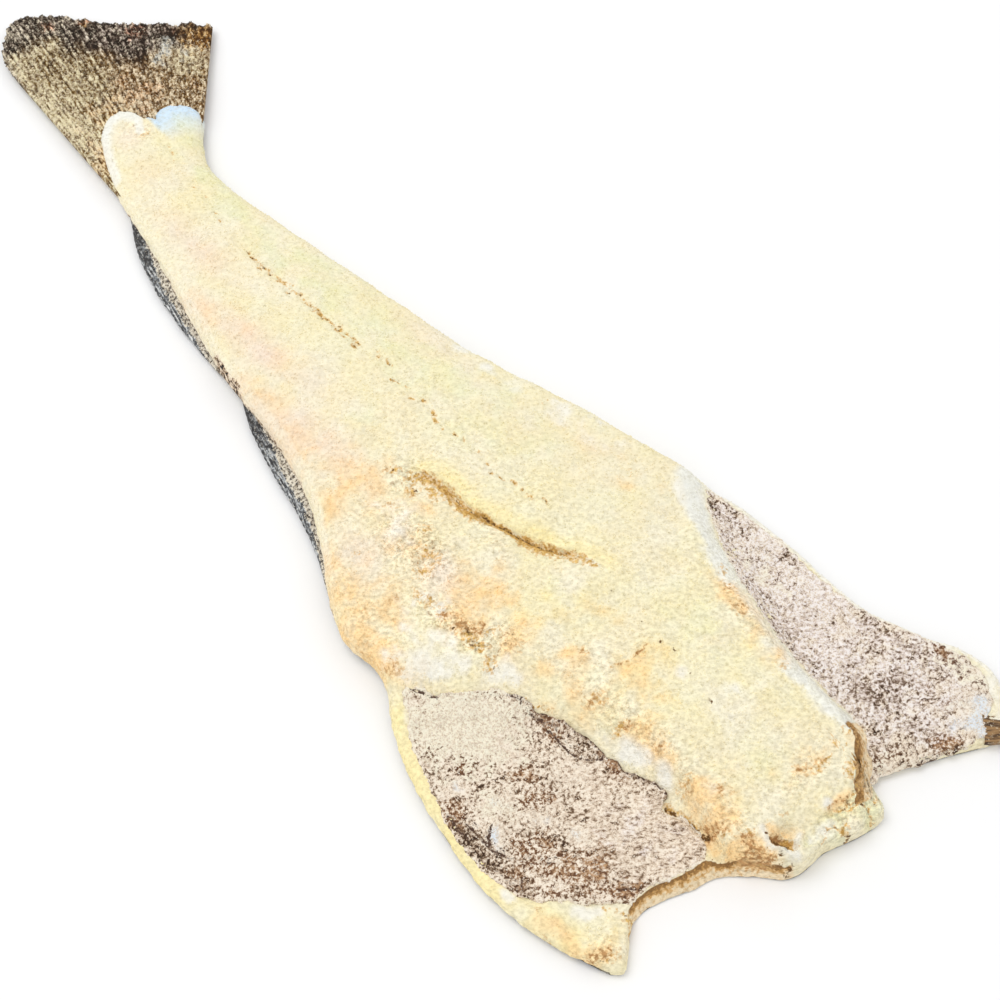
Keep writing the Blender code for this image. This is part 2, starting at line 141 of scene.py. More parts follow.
# Tail fin, as points (x, y) along its hidden root and along its trailing edge, left to right.
FIN_ROOT = [(-31, 186), (-24, 197), (-10, 206), (6, 209), (20, 206), (31, 206)]
FIN_MARGIN = [
    (-26.5, 306), (-24, 321), (-19, 330), (-11, 339), (-2.5, 343.5), (9, 339), (24.5, 325.5),
    (41, 305.5), (55, 292), (70, 279), (83.5, 267),
]
FIN_Z, FIN_THICKNESS = (7.5, 5), (5.0, 2.2)  # each at the root and at the tip
FIN_WAVES, FIN_WAVE_HEIGHT = 1.5, 1.6

# Anal fins under the left edge, as (y, reach beyond the body).
REAR_ANAL_FIN = [(72, 0), (95, 4), (120, 7.5), (142, 9), (160, 7.5), (174, 4), (186, 0)]
FRONT_ANAL_FIN = [(-70, 0), (-45, 4), (-20, 8), (2, 9.5), (20, 8), (36, 5), (50, 0)]
ANAL_FIN_INSIDE = 9
ANAL_FIN_Z, ANAL_FIN_THICKNESS = (7, 3.2), (5, 2.0)

# Stub of the right pectoral fin, at the corner of the right flap.
PECTORAL_ROOT, PECTORAL_TIP = (104, -329), (120, -342)
PECTORAL_WIDTH, PECTORAL_THICKNESS = (17, 13), (6.4, 4.2)
PECTORAL_Z, PECTORAL_LENGTH, PECTORAL_RAYS = 4.6, 20, 6

# Finer forms of the scene.

ROWS = 436
COLUMN_COUNTS = (84, 4, 4, 22, 5, 5, 64)  # between the left edge, crack, backbone and right edge
ROW_FINENESS, ROW_FINE_REACH = (0.6, 0.5), 14  # how much smaller the steps are at the neck and the tail
COLUMN_FINENESS, COLUMN_FINE_REACH = 0.6, 12
BODY_ENDS = (-337, 245)  # y that every line along the body covers
TAIL_RAGGEDNESS = [(0.45, 2.6, 15), (0.3, 1.1, 16)]  # (height, cell, seed) of each noise
# The neck edge of the left flap and the front of the thick block are cut at a slant, as (x, width).
NECK_CUT = (-93, -86, -22, -14)
NECK_CUT_WIDTH = [
    (-94, 4.2), (-83, 4.5), (-71, 5.5), (-60, 5.6), (-46, 7), (-38, 8.5), (-32, 7), (-24, 5), (-14, 4),
]
NECK_CUT_FOOT = 0.15
# Front lip of the thick block, over the lumps and the hole at the neck, as (x, y).
NECK_LIP = [
    (-22, -303), (-19.5, -305), (-13, -311), (-7, -313.8), (-1.3, -315.9), (6.7, -314.8),
    (15.8, -314.2), (22.8, -315.2), (28.2, -314.2), (31.9, -311.7), (36, -308), (41.4, -303.5),
    (45.9, -299.5),
]
# The gap between the tip of the left lining and the block, as (x, y); it is cut in and painted dark as
# painted shade in the gap.
TIP_GAP = [(-42, -263), (-40.6, -269.9), (-39, -275.9), (-39.2, -283), (-37.3, -287)]
TIP_GAP_DEPTH, TIP_GAP_WIDTH = 2.2, 1.3
# Outlines of the two belly linings, as (x, y): their left and right sides from the neck to the tail,
# then their ends at the neck and at the tail from left to right.
LEFT_LINING = {
    "left": [
        (-85.9, -287.6), (-97.3, -278.1), (-107.6, -268.8), (-117.6, -259.1), (-124.5, -250.1),
        (-127.4, -241.3), (-128.6, -232.6), (-129.2, -219.4), (-127.8, -202.9), (-123, -186.5),
        (-115.4, -163.7), (-106.8, -147.7), (-98.8, -135.5),
    ],
    "right": [
        (-41.7, -291.3), (-38, -286), (-37.5, -281.2), (-37.8, -275.8), (-39.5, -270.5),
        (-43, -265.5), (-44, -262), (-39.5, -259.5), (-37.5, -256), (-38, -250), (-40.3, -245.4),
        (-44.5, -235.8), (-47.5, -219.8), (-50.3, -202.4), (-56.1, -189.3), (-60.1, -176.9),
        (-65, -166.5), (-75.2, -158.3), (-88.7, -150.8),
    ],
    "near": [
        (-85.9, -287.6), (-80.5, -286.8), (-75, -286.6), (-67.7, -289.3), (-61.1, -291.6),
        (-51.7, -293.4), (-47.2, -293.3), (-41.7, -291.3),
    ],
    "far": [(-98.8, -135.5), (-92.5, -143), (-88.7, -150.8)],
}
RIGHT_LINING = {
    "left": [
        (38.8, -317.6), (47.4, -309.6), (53.2, -301), (57.5, -294), (58.8, -285.7), (57.6, -273.7),
        (57.2, -263.3), (57, -249.2), (57.7, -231.5), (61.8, -210), (65.3, -194.4), (70, -179.8),
        (77.1, -166.9), (82.6, -153.6), (88.5, -146.5),
    ],
    "right": [
        (100.2, -333), (104, -330), (110, -327), (117.5, -322), (123, -314), (124.6, -305),
        (123.5, -296), (118.5, -284), (114, -273), (109, -262), (104.6, -251), (101.5, -238),
        (100, -215), (99.2, -193), (97.5, -176), (93.6, -160), (90.6, -146.5),
    ],
    "near": [
        (38.8, -317.6), (47.9, -315.1), (57.8, -318.7), (67.3, -322.6), (76.8, -326.6),
        (86.4, -330.5), (93.8, -333), (100.2, -333),
    ],
    "far": [(88.5, -146.5), (90.6, -146.5)],
}


def smooth_line(points):
    """A function through the points (a, b), with a cubic between each two."""
    a = np.array([p[0] for p in points], float)
    b = np.array([p[1] for p in points], float)
    slope = np.gradient(b, a)

    def value(at):
        at = np.clip(np.asarray(at, float), a[0], a[-1])
        k = np.clip(np.searchsorted(a, at) - 1, 0, len(a) - 2)
        span = a[k + 1] - a[k]
        t = (at - a[k]) / span
        start = (1 + 2 * t) * (1 - t) ** 2 * b[k] + t * (1 - t) ** 2 * span * slope[k]
        end = t**2 * (3 - 2 * t) * b[k + 1] - t**2 * (1 - t) * span * slope[k + 1]
        return start + end

    return value


left_edge, right_edge = smooth_line(LEFT_EDGE), smooth_line(RIGHT_EDGE)
neck_line, tail_line, neck_lip = smooth_line(NECK_END), smooth_line(TAIL_END), smooth_line(NECK_LIP)
crest_height = smooth_line(CREST_HEIGHT)
left_flap_height, right_flap_height = smooth_line(LEFT_FLAP_HEIGHT), smooth_line(RIGHT_FLAP_HEIGHT)
left_shoulder, right_shoulder = smooth_line(LEFT_SHOULDER), smooth_line(RIGHT_SHOULDER)
backbone, crack = smooth_line(BACKBONE), smooth_line(CRACK)
left_slope, right_slope = smooth_line(LEFT_SLOPE), smooth_line(RIGHT_SLOPE)
neck_cut_width = smooth_line(NECK_CUT_WIDTH)


def ramp(value, start, end):
    """0 before start, 1 after end, and a smooth rise between them."""
    t = np.clip((value - start) / (end - start), 0, 1)
    return t * t * (3 - 2 * t)


def soft_step(value, at, reach):
    """0 below at, 1 above it, and a smooth rise over reach on either side."""
    return ramp(value, at - reach, at + reach)


def blend(start, end, share):
    """start where share is 0 and end where it is 1, in proportion between them."""
    return start + (end - start) * share


def rounded(distance, radius):
    """The profile of a quarter circle: 0 at an edge and 1 from radius inwards."""
    t = 1 - np.clip(distance / radius, 0, 1)
    return np.sqrt(1 - t * t)


def waves(x, y, lengths, seed, count=14):
    """Irregular waves about 1 high, whose directions and phases are drawn with a seed."""
    draw = np.random.default_rng(seed)
    total = 0
    for _ in range(count):
        length = draw.uniform(*lengths)
        heading, phase = draw.uniform(0, 2 * math.pi, 2)
        run = x * math.cos(heading) + y * math.sin(heading)
        total = total + np.sin(2 * math.pi * run / length + phase)
    return total / math.sqrt(count / 2)


def along(at, ends):
    """1 between the second and third end, falling to 0 at the first and fourth."""
    return ramp(at, ends[0], ends[1]) * (1 - ramp(at, ends[2], ends[3]))


def neck_end(x):
    """y of the cut neck, with its ragged middle."""
    ragged = NECK_RAGGEDNESS * along(x, NECK_RAGGED_ENDS)
    return neck_line(x) + ragged * waves(x, 0, NECK_RAGGED_LENGTHS, seed=5)


def tail_end(x):
    """y of the ragged end of the flesh on the tail fin."""
    y = tail_line(x)
    for height, cell, seed in TAIL_RAGGEDNESS:
        y = y + height * noise(x, 0, cell, seed)
    return y


def right_of(line, x, y):
    """Distance of each point from a line that is given as (y, x), negative on its left."""
    line_y = np.linspace(*BODY_ENDS, 292)
    line_x = line(line_y)
    away = np.full(x.shape, np.inf)
    for a, b in zip(line_x, line_y):
        away = np.minimum(away, np.hypot(x - a, y - b))
    return np.where(x > line(y), away, -away)


def lining(x, y, past_left, past_right):
    """1 inside the linings of the two flaps and 0 on the flesh."""
    left = soft_step(x, left_edge(y) + LEFT_RIM, LINING_SOFTNESS)
    left = left * soft_step(-past_left, left_slope(y) / 2, LINING_SOFTNESS)
    left = left * soft_step(y, LEFT_LINING_END, LINING_END_SOFTNESS)
    right = soft_step(right_edge(y) - x, RIGHT_RIM, LINING_SOFTNESS)
    right = right * soft_step(past_right, right_slope(y) / 2, LINING_SOFTNESS)
    right = right * soft_step(y, RIGHT_LINING_END, LINING_END_SOFTNESS)
    return left + right


def flesh_height(x, y):
    """Height of the upper surface, before its edges are rounded."""
    middle = (left_edge(y) + right_edge(y)) / 2
    half_width = (right_edge(y) - left_edge(y)) / 2
    off_middle = np.clip(np.abs(x - middle) / half_width, 0, 1)
    height = crest_height(y) * (1 - (1 - EDGE_SHARE) * off_middle**EDGE_FALL)
    past_left, past_right = right_of(left_shoulder, x, y), right_of(right_shoulder, x, y)
    height = blend(height, left_flap_height(y), ramp(-past_left / left_slope(y), -0.5, 0.5))
    height = blend(height, right_flap_height(y), ramp(past_right / right_slope(y), -0.5, 0.5))
    height = height - LINING_RECESS * lining(x, y, past_left, past_right)

    off_backbone = np.clip(np.abs(x - backbone(y)) / BACKBONE_HALF_WIDTH, 0, 1)
    height = height - BACKBONE_DEPTH * (1 - off_backbone) * along(y, BACKBONE_ENDS)
    left_of_crack = crack(y) - x
    gap = 1 - np.clip(np.abs(left_of_crack) / CRACK_HALF_WIDTH, 0, 1)
    beside = along(left_of_crack, (0, CRACK_HALF_WIDTH, CRACK_HALF_WIDTH, CRACK_STEP_WIDTH))
    height = height - along(y, CRACK_ENDS) * (CRACK_DEPTH * gap + CRACK_STEP * beside)

    patch_x, patch_y = FLAKE_PATCH
    off_patch = ((x - patch_x) / FLAKE_PATCH_RADII[0]) ** 2 + ((y - patch_y) / FLAKE_PATCH_RADII[1]) ** 2
    height = height + FLAKE * waves(x, y, FLAKE_LENGTHS, seed=7) * np.exp(-off_patch)
    for lump_x, lump_y, radius, lump in NECK_LUMPS:
        height = height + lump * np.exp(-((x - lump_x) ** 2 + (y - lump_y) ** 2) / radius**2)
    height = height - TIP_GAP_DEPTH * stroke(x, y, TIP_GAP, TIP_GAP_WIDTH)
    return height + SWELL * waves(x, y, SWELL_LENGTHS, seed=3)


def body_top(x, y):
    """Height of the upper surface with its rounded sides and its slanting cut at the neck."""
    to_side = np.minimum(x - left_edge(y), right_edge(y) - x)
    to_neck, to_tail = y - neck_end(x), tail_end(x) - y
    edge = rounded(np.minimum(to_side, to_tail), TOP_ROUNDING) * rounded(to_neck, NECK_TOP_ROUNDING)
    share = blend(WALL_TOP, 1, edge)
    slant = blend(NECK_CUT_FOOT, 1, np.clip(to_neck / neck_cut_width(x), 0, 1))
    return flesh_height(x, y) * blend(share, np.minimum(slant, share), along(x, NECK_CUT))


def spaced(count, finer_start, finer_end, reach=3.5):
    """Positions from 0 to 1 whose steps are smaller near the ends by those shares."""
    step = np.arange(count)
    size = 1 - finer_start * np.exp(-step / reach) - finer_end * np.exp(-step[::-1] / reach)
    return np.concatenate([[0], np.cumsum(size)]) / size.sum()


def column_x(y):
    """x of each column of points for an array of y whose last axis is the columns."""
    lines = [
        left_edge(y), crack(y) - CRACK_HALF_WIDTH, crack(y), crack(y) + CRACK_HALF_WIDTH,
        backbone(y) - BACKBONE_HALF_WIDTH, backbone(y), backbone(y) + BACKBONE_HALF_WIDTH, right_edge(y),
    ]
    x = np.empty(y.shape)
    x[..., 0] = lines[0][..., 0]
    column, last = 0, len(COLUMN_COUNTS) - 1
    for k, count in enumerate(COLUMN_COUNTS):
        finer = [COLUMN_FINENESS * (k == end) for end in (0, last)]
        for share in spaced(count, *finer, reach=COLUMN_FINE_REACH)[1:]:
            column += 1
            x[..., column] = blend(lines[k][..., column], lines[k + 1][..., column], share)
    return x


def end_row(line, first_y):
    """y of the columns at one end of the body, where they meet the line of that end."""
    y = np.full(sum(COLUMN_COUNTS) + 1, float(first_y))
    for _ in range(30):
        y = (y + line(column_x(y))) / 2
    return y


def body_grid():
    """x and y of the body's points in rows from the neck to the tail, and y of its two end rows."""
    neck_y, tail_y = end_row(neck_end, -320), end_row(tail_end, 225)
    y = blend(neck_y, tail_y, spaced(ROWS, *ROW_FINENESS, reach=ROW_FINE_REACH)[:, None])
    return column_x(y), y, neck_y, tail_y


# Noise and regions.


def lattice(i, j, seed):
    """A repeatable draw from 0 to 1 for each cell of a grid."""
    value = np.sin(i * 127.1 + j * 311.7 + seed * 74.7) * 43758.5453
    return value - np.floor(value)


def noise(x, y, cell, seed):
    """Smooth irregular values from -1 to 1, with about one bump a cell."""
    turn = seed * 1.7
    u = (x * math.cos(turn) + y * math.sin(turn)) / cell
    v = (y * math.cos(turn) - x * math.sin(turn)) / cell
    i, j = np.floor(u), np.floor(v)
    u, v = ramp(u - i, 0, 1), ramp(v - j, 0, 1)
    near, right = lattice(i, j, seed), lattice(i + 1, j, seed)
    above, corner = lattice(i, j + 1, seed), lattice(i + 1, j + 1, seed)
    twist = near - right - above + corner
    return 2 * (near + (right - near) * u + (above - near) * v + twist * u * v) - 1


def rough(x, y, cell, seed, octaves=3):
    """Noise with finer noise on it, each octave half as large and half as high."""
    return sum(noise(x, y, cell / 2**k, seed + k) / 2**k for k in range(octaves))


def packed_grains(x, y, cell, seed):
    """1 in the middle of each of many packed grains, falling to 0 between them."""
    u, v = x / cell, y / cell
    i, j = np.floor(u), np.floor(v)
    nearest = np.full(np.shape(u), 9.0)
    for di in (-1, 0, 1):
        for dj in (-1, 0, 1):
            a, b = i + di, j + dj
            away = np.hypot(a + lattice(a, b, seed) - u, b + lattice(a, b, seed + 1) - v)
            nearest = np.minimum(nearest, away)
    return np.clip(1 - nearest / 0.75, 0, 1)


def spot(x, y, middle, radii, turn=0):
    """1 at the middle of an ellipse and falling smoothly away; turn is in degrees."""
    c, s = math.cos(math.radians(turn)), math.sin(math.radians(turn))
    dx, dy = x - middle[0], y - middle[1]
    return np.exp(-(((dx * c + dy * s) / radii[0]) ** 2 + ((dy * c - dx * s) / radii[1]) ** 2))


def spots(x, y, listed):
    """The strongest of several spots, each given as (x, y, radius x, radius y, turn, strength)."""
    total = np.zeros(np.shape(x))
    for a, b, rx, ry, turn, strength in listed:
        total = np.maximum(total, strength * spot(x, y, (a, b), (rx, ry), turn))
    return total


def from_line(x, y, points):
    """Distance of each point from a line through (x, y) points."""
    away = np.full(np.shape(x), np.inf)
    for (ax, ay), (bx, by) in zip(points, points[1:]):
        dx, dy = bx - ax, by - ay
        t = np.clip(((x - ax) * dx + (y - ay) * dy) / (dx * dx + dy * dy), 0, 1)
        away = np.minimum(away, np.hypot(x - ax - t * dx, y - ay - t * dy))
    return away


def stroke(x, y, points, width):
    """1 on a line through points and falling smoothly to 0 about width away."""
    return np.exp(-((from_line(x, y, points) / width) ** 2))


def strokes(x, y, lines, width):
    """The strongest of several strokes."""
    return np.maximum.reduce([stroke(x, y, line, width) for line in lines])


def broken(mask, grain, start=0.35, end=0.75):
    """A soft mask turned into ragged patches by a noise."""
    return ramp(mask + 0.45 * grain * np.clip(4 * mask * (1.3 - mask), 0, 1), start, end)


# Meshes and pieces.


def place(points):
    """Points in millimetres of the drawn frame as metres of the row's frame."""
    return (np.asarray(points, float).reshape(-1, 3) + SHIFT) * MM


def make_piece(name, points, faces, material, slot="salted_flesh", **masks):
    """A smooth-shaded piece that rides on the root, with one mesh attribute for each mask."""
    data = bpy.data.meshes.new(name)
    data.from_pydata(place(points).tolist(), [], faces)
    for label, values in masks.items():
        stored = data.attributes.new(label, "FLOAT", "POINT")
        stored.data.foreach_set("value", np.asarray(values, np.float32).ravel())
    data.materials.append(material)
    data.shade_smooth()
    data.validate()
    piece = bpy.data.objects.new(name, data)
    bpy.context.scene.collection.objects.link(piece)
    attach(piece, "root")
    return piece


def grid_faces(rows, columns, first=0, flip=False):
    """Four-sided faces of a grid of points that is stored row by row."""
    corner = first + np.arange((rows - 1) * columns).reshape(rows - 1, columns)[:, :-1]
    loop = [corner, corner + 1, corner + columns + 1, corner + columns]
    faces = np.stack(loop[::-1] if flip else loop, -1).reshape(-1, 4)
    return faces.tolist()


def border(rows, columns):
    """Indices of the points round a grid, anticlockwise seen from above."""
    near = list(range(columns))
    right = [r * columns + columns - 1 for r in range(1, rows)]
    far = [(rows - 1) * columns + c for c in range(columns - 2, -1, -1)]
    left = [r * columns for r in range(rows - 2, 0, -1)]
    return np.array(near + right + far + left)


def ring_faces(upper, lower):
    """Faces between two rings of points, upper above lower, with their fronts outwards."""
    return [[lower[k - 1], lower[k], upper[k], upper[k - 1]] for k in range(len(upper))]


def both_sides(masks):
    """The masks of a grid for the points of its shell, lower side first."""
    return {name: np.concatenate([value.ravel()] * 2) for name, value in masks.items()}


def shell(lower, upper):
    """Points and faces of a closed shell between two grids (rows, columns, 3)."""
    rows, columns = lower.shape[:2]
    count = rows * columns
    edge = border(rows, columns)
    faces = grid_faces(rows, columns, count) + grid_faces(rows, columns, 0, flip=True)
    faces += ring_faces((edge + count).tolist(), edge.tolist())
    return np.concatenate([lower.reshape(-1, 3), upper.reshape(-1, 3)]), faces


def outward(loop_xy):
    """Unit vectors that point out of an anticlockwise ring of (x, y)."""
    tangent = np.roll(loop_xy, -1, 0) - np.roll(loop_xy, 1, 0)
    tangent = tangent / np.maximum(np.hypot(*tangent.T), 1e-9)[:, None]
    return np.stack([tangent[:, 1], -tangent[:, 0]], -1)


# Materials.


class Paint:
    """A Principled material and short names for the nodes that feed it."""

    def __init__(self, name, roughness=0.7, specular=0.3):
        self.material = bpy.data.materials.new(name)
        self.material.use_nodes = True
        self.tree = self.material.node_tree
        self.shader = self.tree.nodes["Principled BSDF"]
        self.shader.inputs["Roughness"].default_value = roughness
        self.shader.inputs["Specular IOR Level"].default_value = specular
        self.place = self.tree.nodes.new("ShaderNodeTexCoord").outputs["Object"]

    def feed(self, socket, value):
        """Links a socket to another, or gives it a number or a colour."""
        if isinstance(value, bpy.types.NodeSocket):
            self.tree.links.new(value, socket)
        else:
            socket.default_value = (*value, 1) if isinstance(value, tuple) else value

    def mask(self, name):
        """The piece's mesh attribute with that name."""
        node = self.tree.nodes.new("ShaderNodeAttribute")
        node.attribute_name = name
        return node.outputs["Fac"]

    def noise_at(self, where, scale, detail):
        node = self.tree.nodes.new("ShaderNodeTexNoise")
        node.inputs["Scale"].default_value = scale
        node.inputs["Detail"].default_value = detail
        node.inputs["Roughness"].default_value = 0.6
        self.feed(node.inputs["Vector"], where)
        return node.outputs["Fac"]

    def noise(self, size, detail=2.0, stretch=1, heading=0):
        """Noise about 0.5 with bumps of size millimetres, which may be stretched along a heading."""
        where = self.place
        if stretch != 1:
            mapping = self.tree.nodes.new("ShaderNodeMapping")
            mapping.vector_type = "TEXTURE"
            mapping.inputs["Rotation"].default_value = (0, 0, math.radians(heading))
            mapping.inputs["Scale"].default_value = (stretch, 1, 1)
            self.feed(mapping.inputs["Vector"], where)
            where = mapping.outputs["Vector"]
        return self.noise_at(where, 1 / (size * MM), detail)

    def ray_noise(self, across, out, detail=2.0):
        """Noise that follows a fin's rays, by its attributes ray and out in millimetres."""
        where = self.tree.nodes.new("ShaderNodeCombineXYZ")
        self.feed(where.inputs["X"], self.math("MULTIPLY", self.mask("ray"), 1 / across))
        self.feed(where.inputs["Y"], self.math("MULTIPLY", self.mask("out"), 1 / out))
        return self.noise_at(where.outputs["Vector"], 1, detail)

    def net(self, size, width=0.03, detail=3.0):
        """1 on thin winding lines that are about size millimetres apart."""
        off = self.math("ABSOLUTE", self.math("SUBTRACT", self.noise(size, detail), 0.5), 0.0)
        return self.between(off, 0, width, 1, 0)

    def cells(self, size):
        """Distance from the middle of packed cells of size millimetres."""
        node = self.tree.nodes.new("ShaderNodeTexVoronoi")
        node.inputs["Scale"].default_value = 1 / (size * MM)
        self.feed(node.inputs["Vector"], self.place)
        return node.outputs["Distance"]

    def between(self, value, start, end, low=0.0, high=1.0):
        """value mapped from start..end to low..high, smoothly and clamped."""
        node = self.tree.nodes.new("ShaderNodeMapRange")
        node.interpolation_type = "SMOOTHSTEP"
        for socket, number in (("From Min", start), ("From Max", end), ("To Min", low), ("To Max", high)):
            node.inputs[socket].default_value = number
        self.feed(node.inputs["Value"], value)
        return node.outputs["Result"]

    def math(self, operation, a, b):
        node = self.tree.nodes.new("ShaderNodeMath")
        node.operation = operation
        self.feed(node.inputs[0], a)
        self.feed(node.inputs[1], b)
        return node.outputs[0]

    def times(self, a, b):
        return self.math("MULTIPLY", a, b)

    def patchy(self, name, grain, *limits):
        """A mask made stronger and weaker by a noise, which between() maps with the limits."""
        return self.times(self.mask(name), self.between(grain, *limits))

    def moved(self, mask, grain, reach):
        """A soft mask moved up and down by a noise, by up to reach."""
        return self.math("ADD", mask, self.between(grain, 0.3, 0.7, -reach, reach))

    def speckled(self, mask, grain, reach, start, end):
        """A soft mask broken up into specks by a noise."""
        return self.between(self.moved(mask, grain, reach), start, end)

    def mix(self, share, a, b, blend="MIX"):
        node = self.tree.nodes.new("ShaderNodeMix")
        node.data_type = "RGBA"
        node.blend_type = blend
        self.feed(node.inputs["Factor"], share)
        self.feed(node.inputs["A"], a)
        self.feed(node.inputs["B"], b)
        return node.outputs["Result"]

    def tones(self, value, *stops):
        """A colour that passes through (value, colour) stops."""
        colour = stops[0][1]
        for (start, _), (end, after) in zip(stops, stops[1:]):
            colour = self.mix(self.between(value, start, end), colour, after)
        return colour

    def bump(self, *layers):
        """Bump from (height socket, millimetres) layers, one on another."""
        normal = None
        for height, depth in layers:
            node = self.tree.nodes.new("ShaderNodeBump")
            node.inputs["Distance"].default_value = depth * MM
            self.feed(node.inputs["Height"], height)
            if normal:
                self.feed(node.inputs["Normal"], normal)
            normal = node.outputs["Normal"]
        self.feed(self.shader.inputs["Normal"], normal)

    def colour(self, value):
        self.feed(self.shader.inputs["Base Color"], value)


CREAM = (0.88, 0.805, 0.59)
YELLOW_CREAM = (0.875, 0.805, 0.55)
LEMON = (0.93, 0.81, 0.435)
YELLOW_GREEN = (0.83, 0.808, 0.53)
PEACH = (0.93, 0.675, 0.355)
PINK = (0.87, 0.70, 0.58)
WARMER, COOLER = (1.0, 0.985, 0.94), (0.995, 1.01, 1.05)
SALT_WHITE = (0.90, 0.875, 0.785)
SALT_BLUE = (0.62, 0.765, 0.895)
NET = (0.66, 0.42, 0.20)
# The darkest and the palest cut colours are painted shadow at the top of the cut and painted light bounced
# onto its foot.
CUT = (0.74, 0.49, 0.235)
CUT_LIGHT = (0.83, 0.66, 0.42)
CUT_PAINTED_SHADOW = (0.25, 0.13, 0.045)
CUT_BROWN = (0.52, 0.29, 0.095)
CUT_PAINTED_BOUNCE_LIGHT = (0.88, 0.73, 0.50)
OCHRE = (0.52, 0.30, 0.08)
GOLD = (0.76, 0.52, 0.19)
RUST = (0.45, 0.235, 0.10)
UMBER = (0.15, 0.075, 0.022)
# Fine darker and lighter specks on the flesh: partly the grain's own mottle, partly painted shade and
# highlight of its small relief.
PAINTED_GRAIN_SHADE, PAINTED_GRAIN_HIGHLIGHT = (0.68, 0.665, 0.635), (1.24, 1.245, 1.26)
# Skin that shows on the side of the flesh, as (value of its mask from, to, colour).
RIND_TONES = [
    (0.2, 0.45, (0.76, 0.63, 0.49)), (0.6, 0.8, (0.30, 0.20, 0.11)), (0.9, 1.1, (0.045, 0.035, 0.03)),
]
# Colours that a material passes through, as (value, colour).
# The cut's tones run from painted bounce light at its foot to painted shadow at its top.
CUT_SHADE_TONES = [(0.05, CUT_PAINTED_BOUNCE_LIGHT), (0.3, CUT_LIGHT), (0.5, CUT), (0.66, CUT_BROWN), (0.85, CUT_PAINTED_SHADOW)]
LINING_TONES = [
    (0.08, (0.05, 0.026, 0.014)), (0.34, (0.185, 0.115, 0.066)), (0.55, (0.52, 0.40, 0.295)),
    (0.74, (0.82, 0.69, 0.555)), (0.98, (0.95, 0.85, 0.71)),
]
GOLDEN_TONES = [
    (0.05, (0.08, 0.038, 0.011)), (0.3, (0.20, 0.108, 0.036)), (0.5, (0.375, 0.248, 0.122)),
    (0.7, (0.62, 0.49, 0.32)), (0.95, (0.92, 0.80, 0.60)),
]
SOOTY_TONES = [
    (0.05, (0.020, 0.012, 0.008)), (0.3, (0.065, 0.042, 0.029)), (0.5, (0.16, 0.118, 0.090)),
    (0.75, (0.40, 0.33, 0.27)), (1.0, (0.84, 0.74, 0.62)),
]
GREY_TONES = [(0.1, (0.03, 0.025, 0.018)), (0.42, (0.40, 0.39, 0.35)), (0.75, (0.78, 0.78, 0.74))]
CHARCOAL_TONES = [
    (0.42, (0.02, 0.02, 0.021)), (0.49, (0.11, 0.115, 0.12)), (0.56, (0.46, 0.48, 0.49)),
    (0.63, (0.80, 0.80, 0.78)),
]
FIN_ROOT_TONES = [(0.41, (0.035, 0.027, 0.02)), (0.47, (0.27, 0.215, 0.15)), (0.56, (0.78, 0.72, 0.60))]
STREAK_TURN = -40  # heading of the streaks across the fish, in degrees


def flesh_tints(paint, mottle, patch):
    """The soft areas of colour under everything else on the flesh."""
    colour = paint.mix(paint.between(paint.noise(34, 2), 0.38, 0.64), CREAM, YELLOW_CREAM)
    colour = paint.mix(paint.patchy("green", patch, 0.3, 0.6, 0.7, 1), colour, YELLOW_GREEN)
    colour = paint.mix(paint.patchy("lemon", patch, 0.35, 0.6, 0.75, 1), colour, LEMON)
    colour = paint.mix(paint.patchy("peach", mottle, 0.36, 0.62, 0.7, 1.15), colour, PEACH)
    colour = paint.mix(paint.patchy("pink", patch, 0.3, 0.6, 0.5, 1), colour, PINK)
    hue = paint.mix(paint.between(paint.noise(22, 2), 0.38, 0.62), WARMER, COOLER)
    return paint.mix(1.0, colour, hue, "MULTIPLY")


def torn_threads(paint, colour, mottle, grain, fleck):
    """A fine net, curls and specks of brown, strongest where the flesh is torn."""
    torn = paint.mask("torn")
    net = paint.times(paint.net(5.5), paint.between(mottle, 0.35, 0.6, 0.3, 1))
    colour = paint.mix(paint.times(net, paint.between(torn, 0, 1, 0.05, 0.7)), colour, NET)
    curls = paint.times(paint.net(3.1, 0.02), paint.between(grain, 0.45, 0.6))
    colour = paint.mix(paint.times(curls, paint.between(torn, 0.2, 1, 0, 0.8)), colour, OCHRE)
    specks = paint.times(paint.between(fleck, 0.58, 0.66), paint.between(torn, 0.1, 0.9, 0.05, 0.7))
    return paint.mix(specks, colour, RUST)


def cut_wall(paint, colour, grain):
    """The cut faces at the neck and on the block's side: their own tan, with painted light bounced from the
    floor at their foot and painted shadow at their top.
    """
    wall = paint.tones(paint.moved(paint.mask("up"), grain, 0.25), *CUT_SHADE_TONES)
    wall = paint.mix(paint.between(grain, 0.5, 0.66, 0, 0.45), wall, CUT_BROWN)
    return paint.mix(paint.between(paint.mask("cut"), 0.3, 0.6), colour, wall)


def rind_flecks(paint, colour, grain):
    """Dark flecks of skin on the side of the body."""
    mask = paint.mask("rind")
    rind = paint.times(paint.moved(mask, grain, 0.55), paint.between(mask, 0.03, 0.25))
    for start, end, tone in RIND_TONES:
        colour = paint.mix(paint.between(rind, start, end), colour, tone)
    return colour


def stains(paint, colour, grain, fleck):
    """Ochre staining, rustier in the peach areas, and dark spots; the masks also hold painted shade in the
    gap at the lining's tip and the crevices under the lip, and the darker one in the crack's core, at the
    hole's edge and on the block's side.
    """
    mask = paint.mask("stain_and_shade")
    stain_and_shade = paint.times(paint.moved(mask, grain, 0.42), paint.between(mask, 0.04, 0.3))
    colour = paint.mix(paint.between(stain_and_shade, 0.4, 0.6, 0, 0.6), colour, CUT)
    ochre = paint.mix(paint.between(fleck, 0.42, 0.58), OCHRE, GOLD)
    ochre = paint.mix(paint.between(paint.mask("peach"), 0.1, 0.5, 0, 0.85), ochre, RUST)
    colour = paint.mix(paint.between(stain_and_shade, 0.62, 0.95), colour, ochre)
    return paint.mix(paint.speckled(paint.mask("dark"), fleck, 0.35, 0.45, 0.85), colour, UMBER)


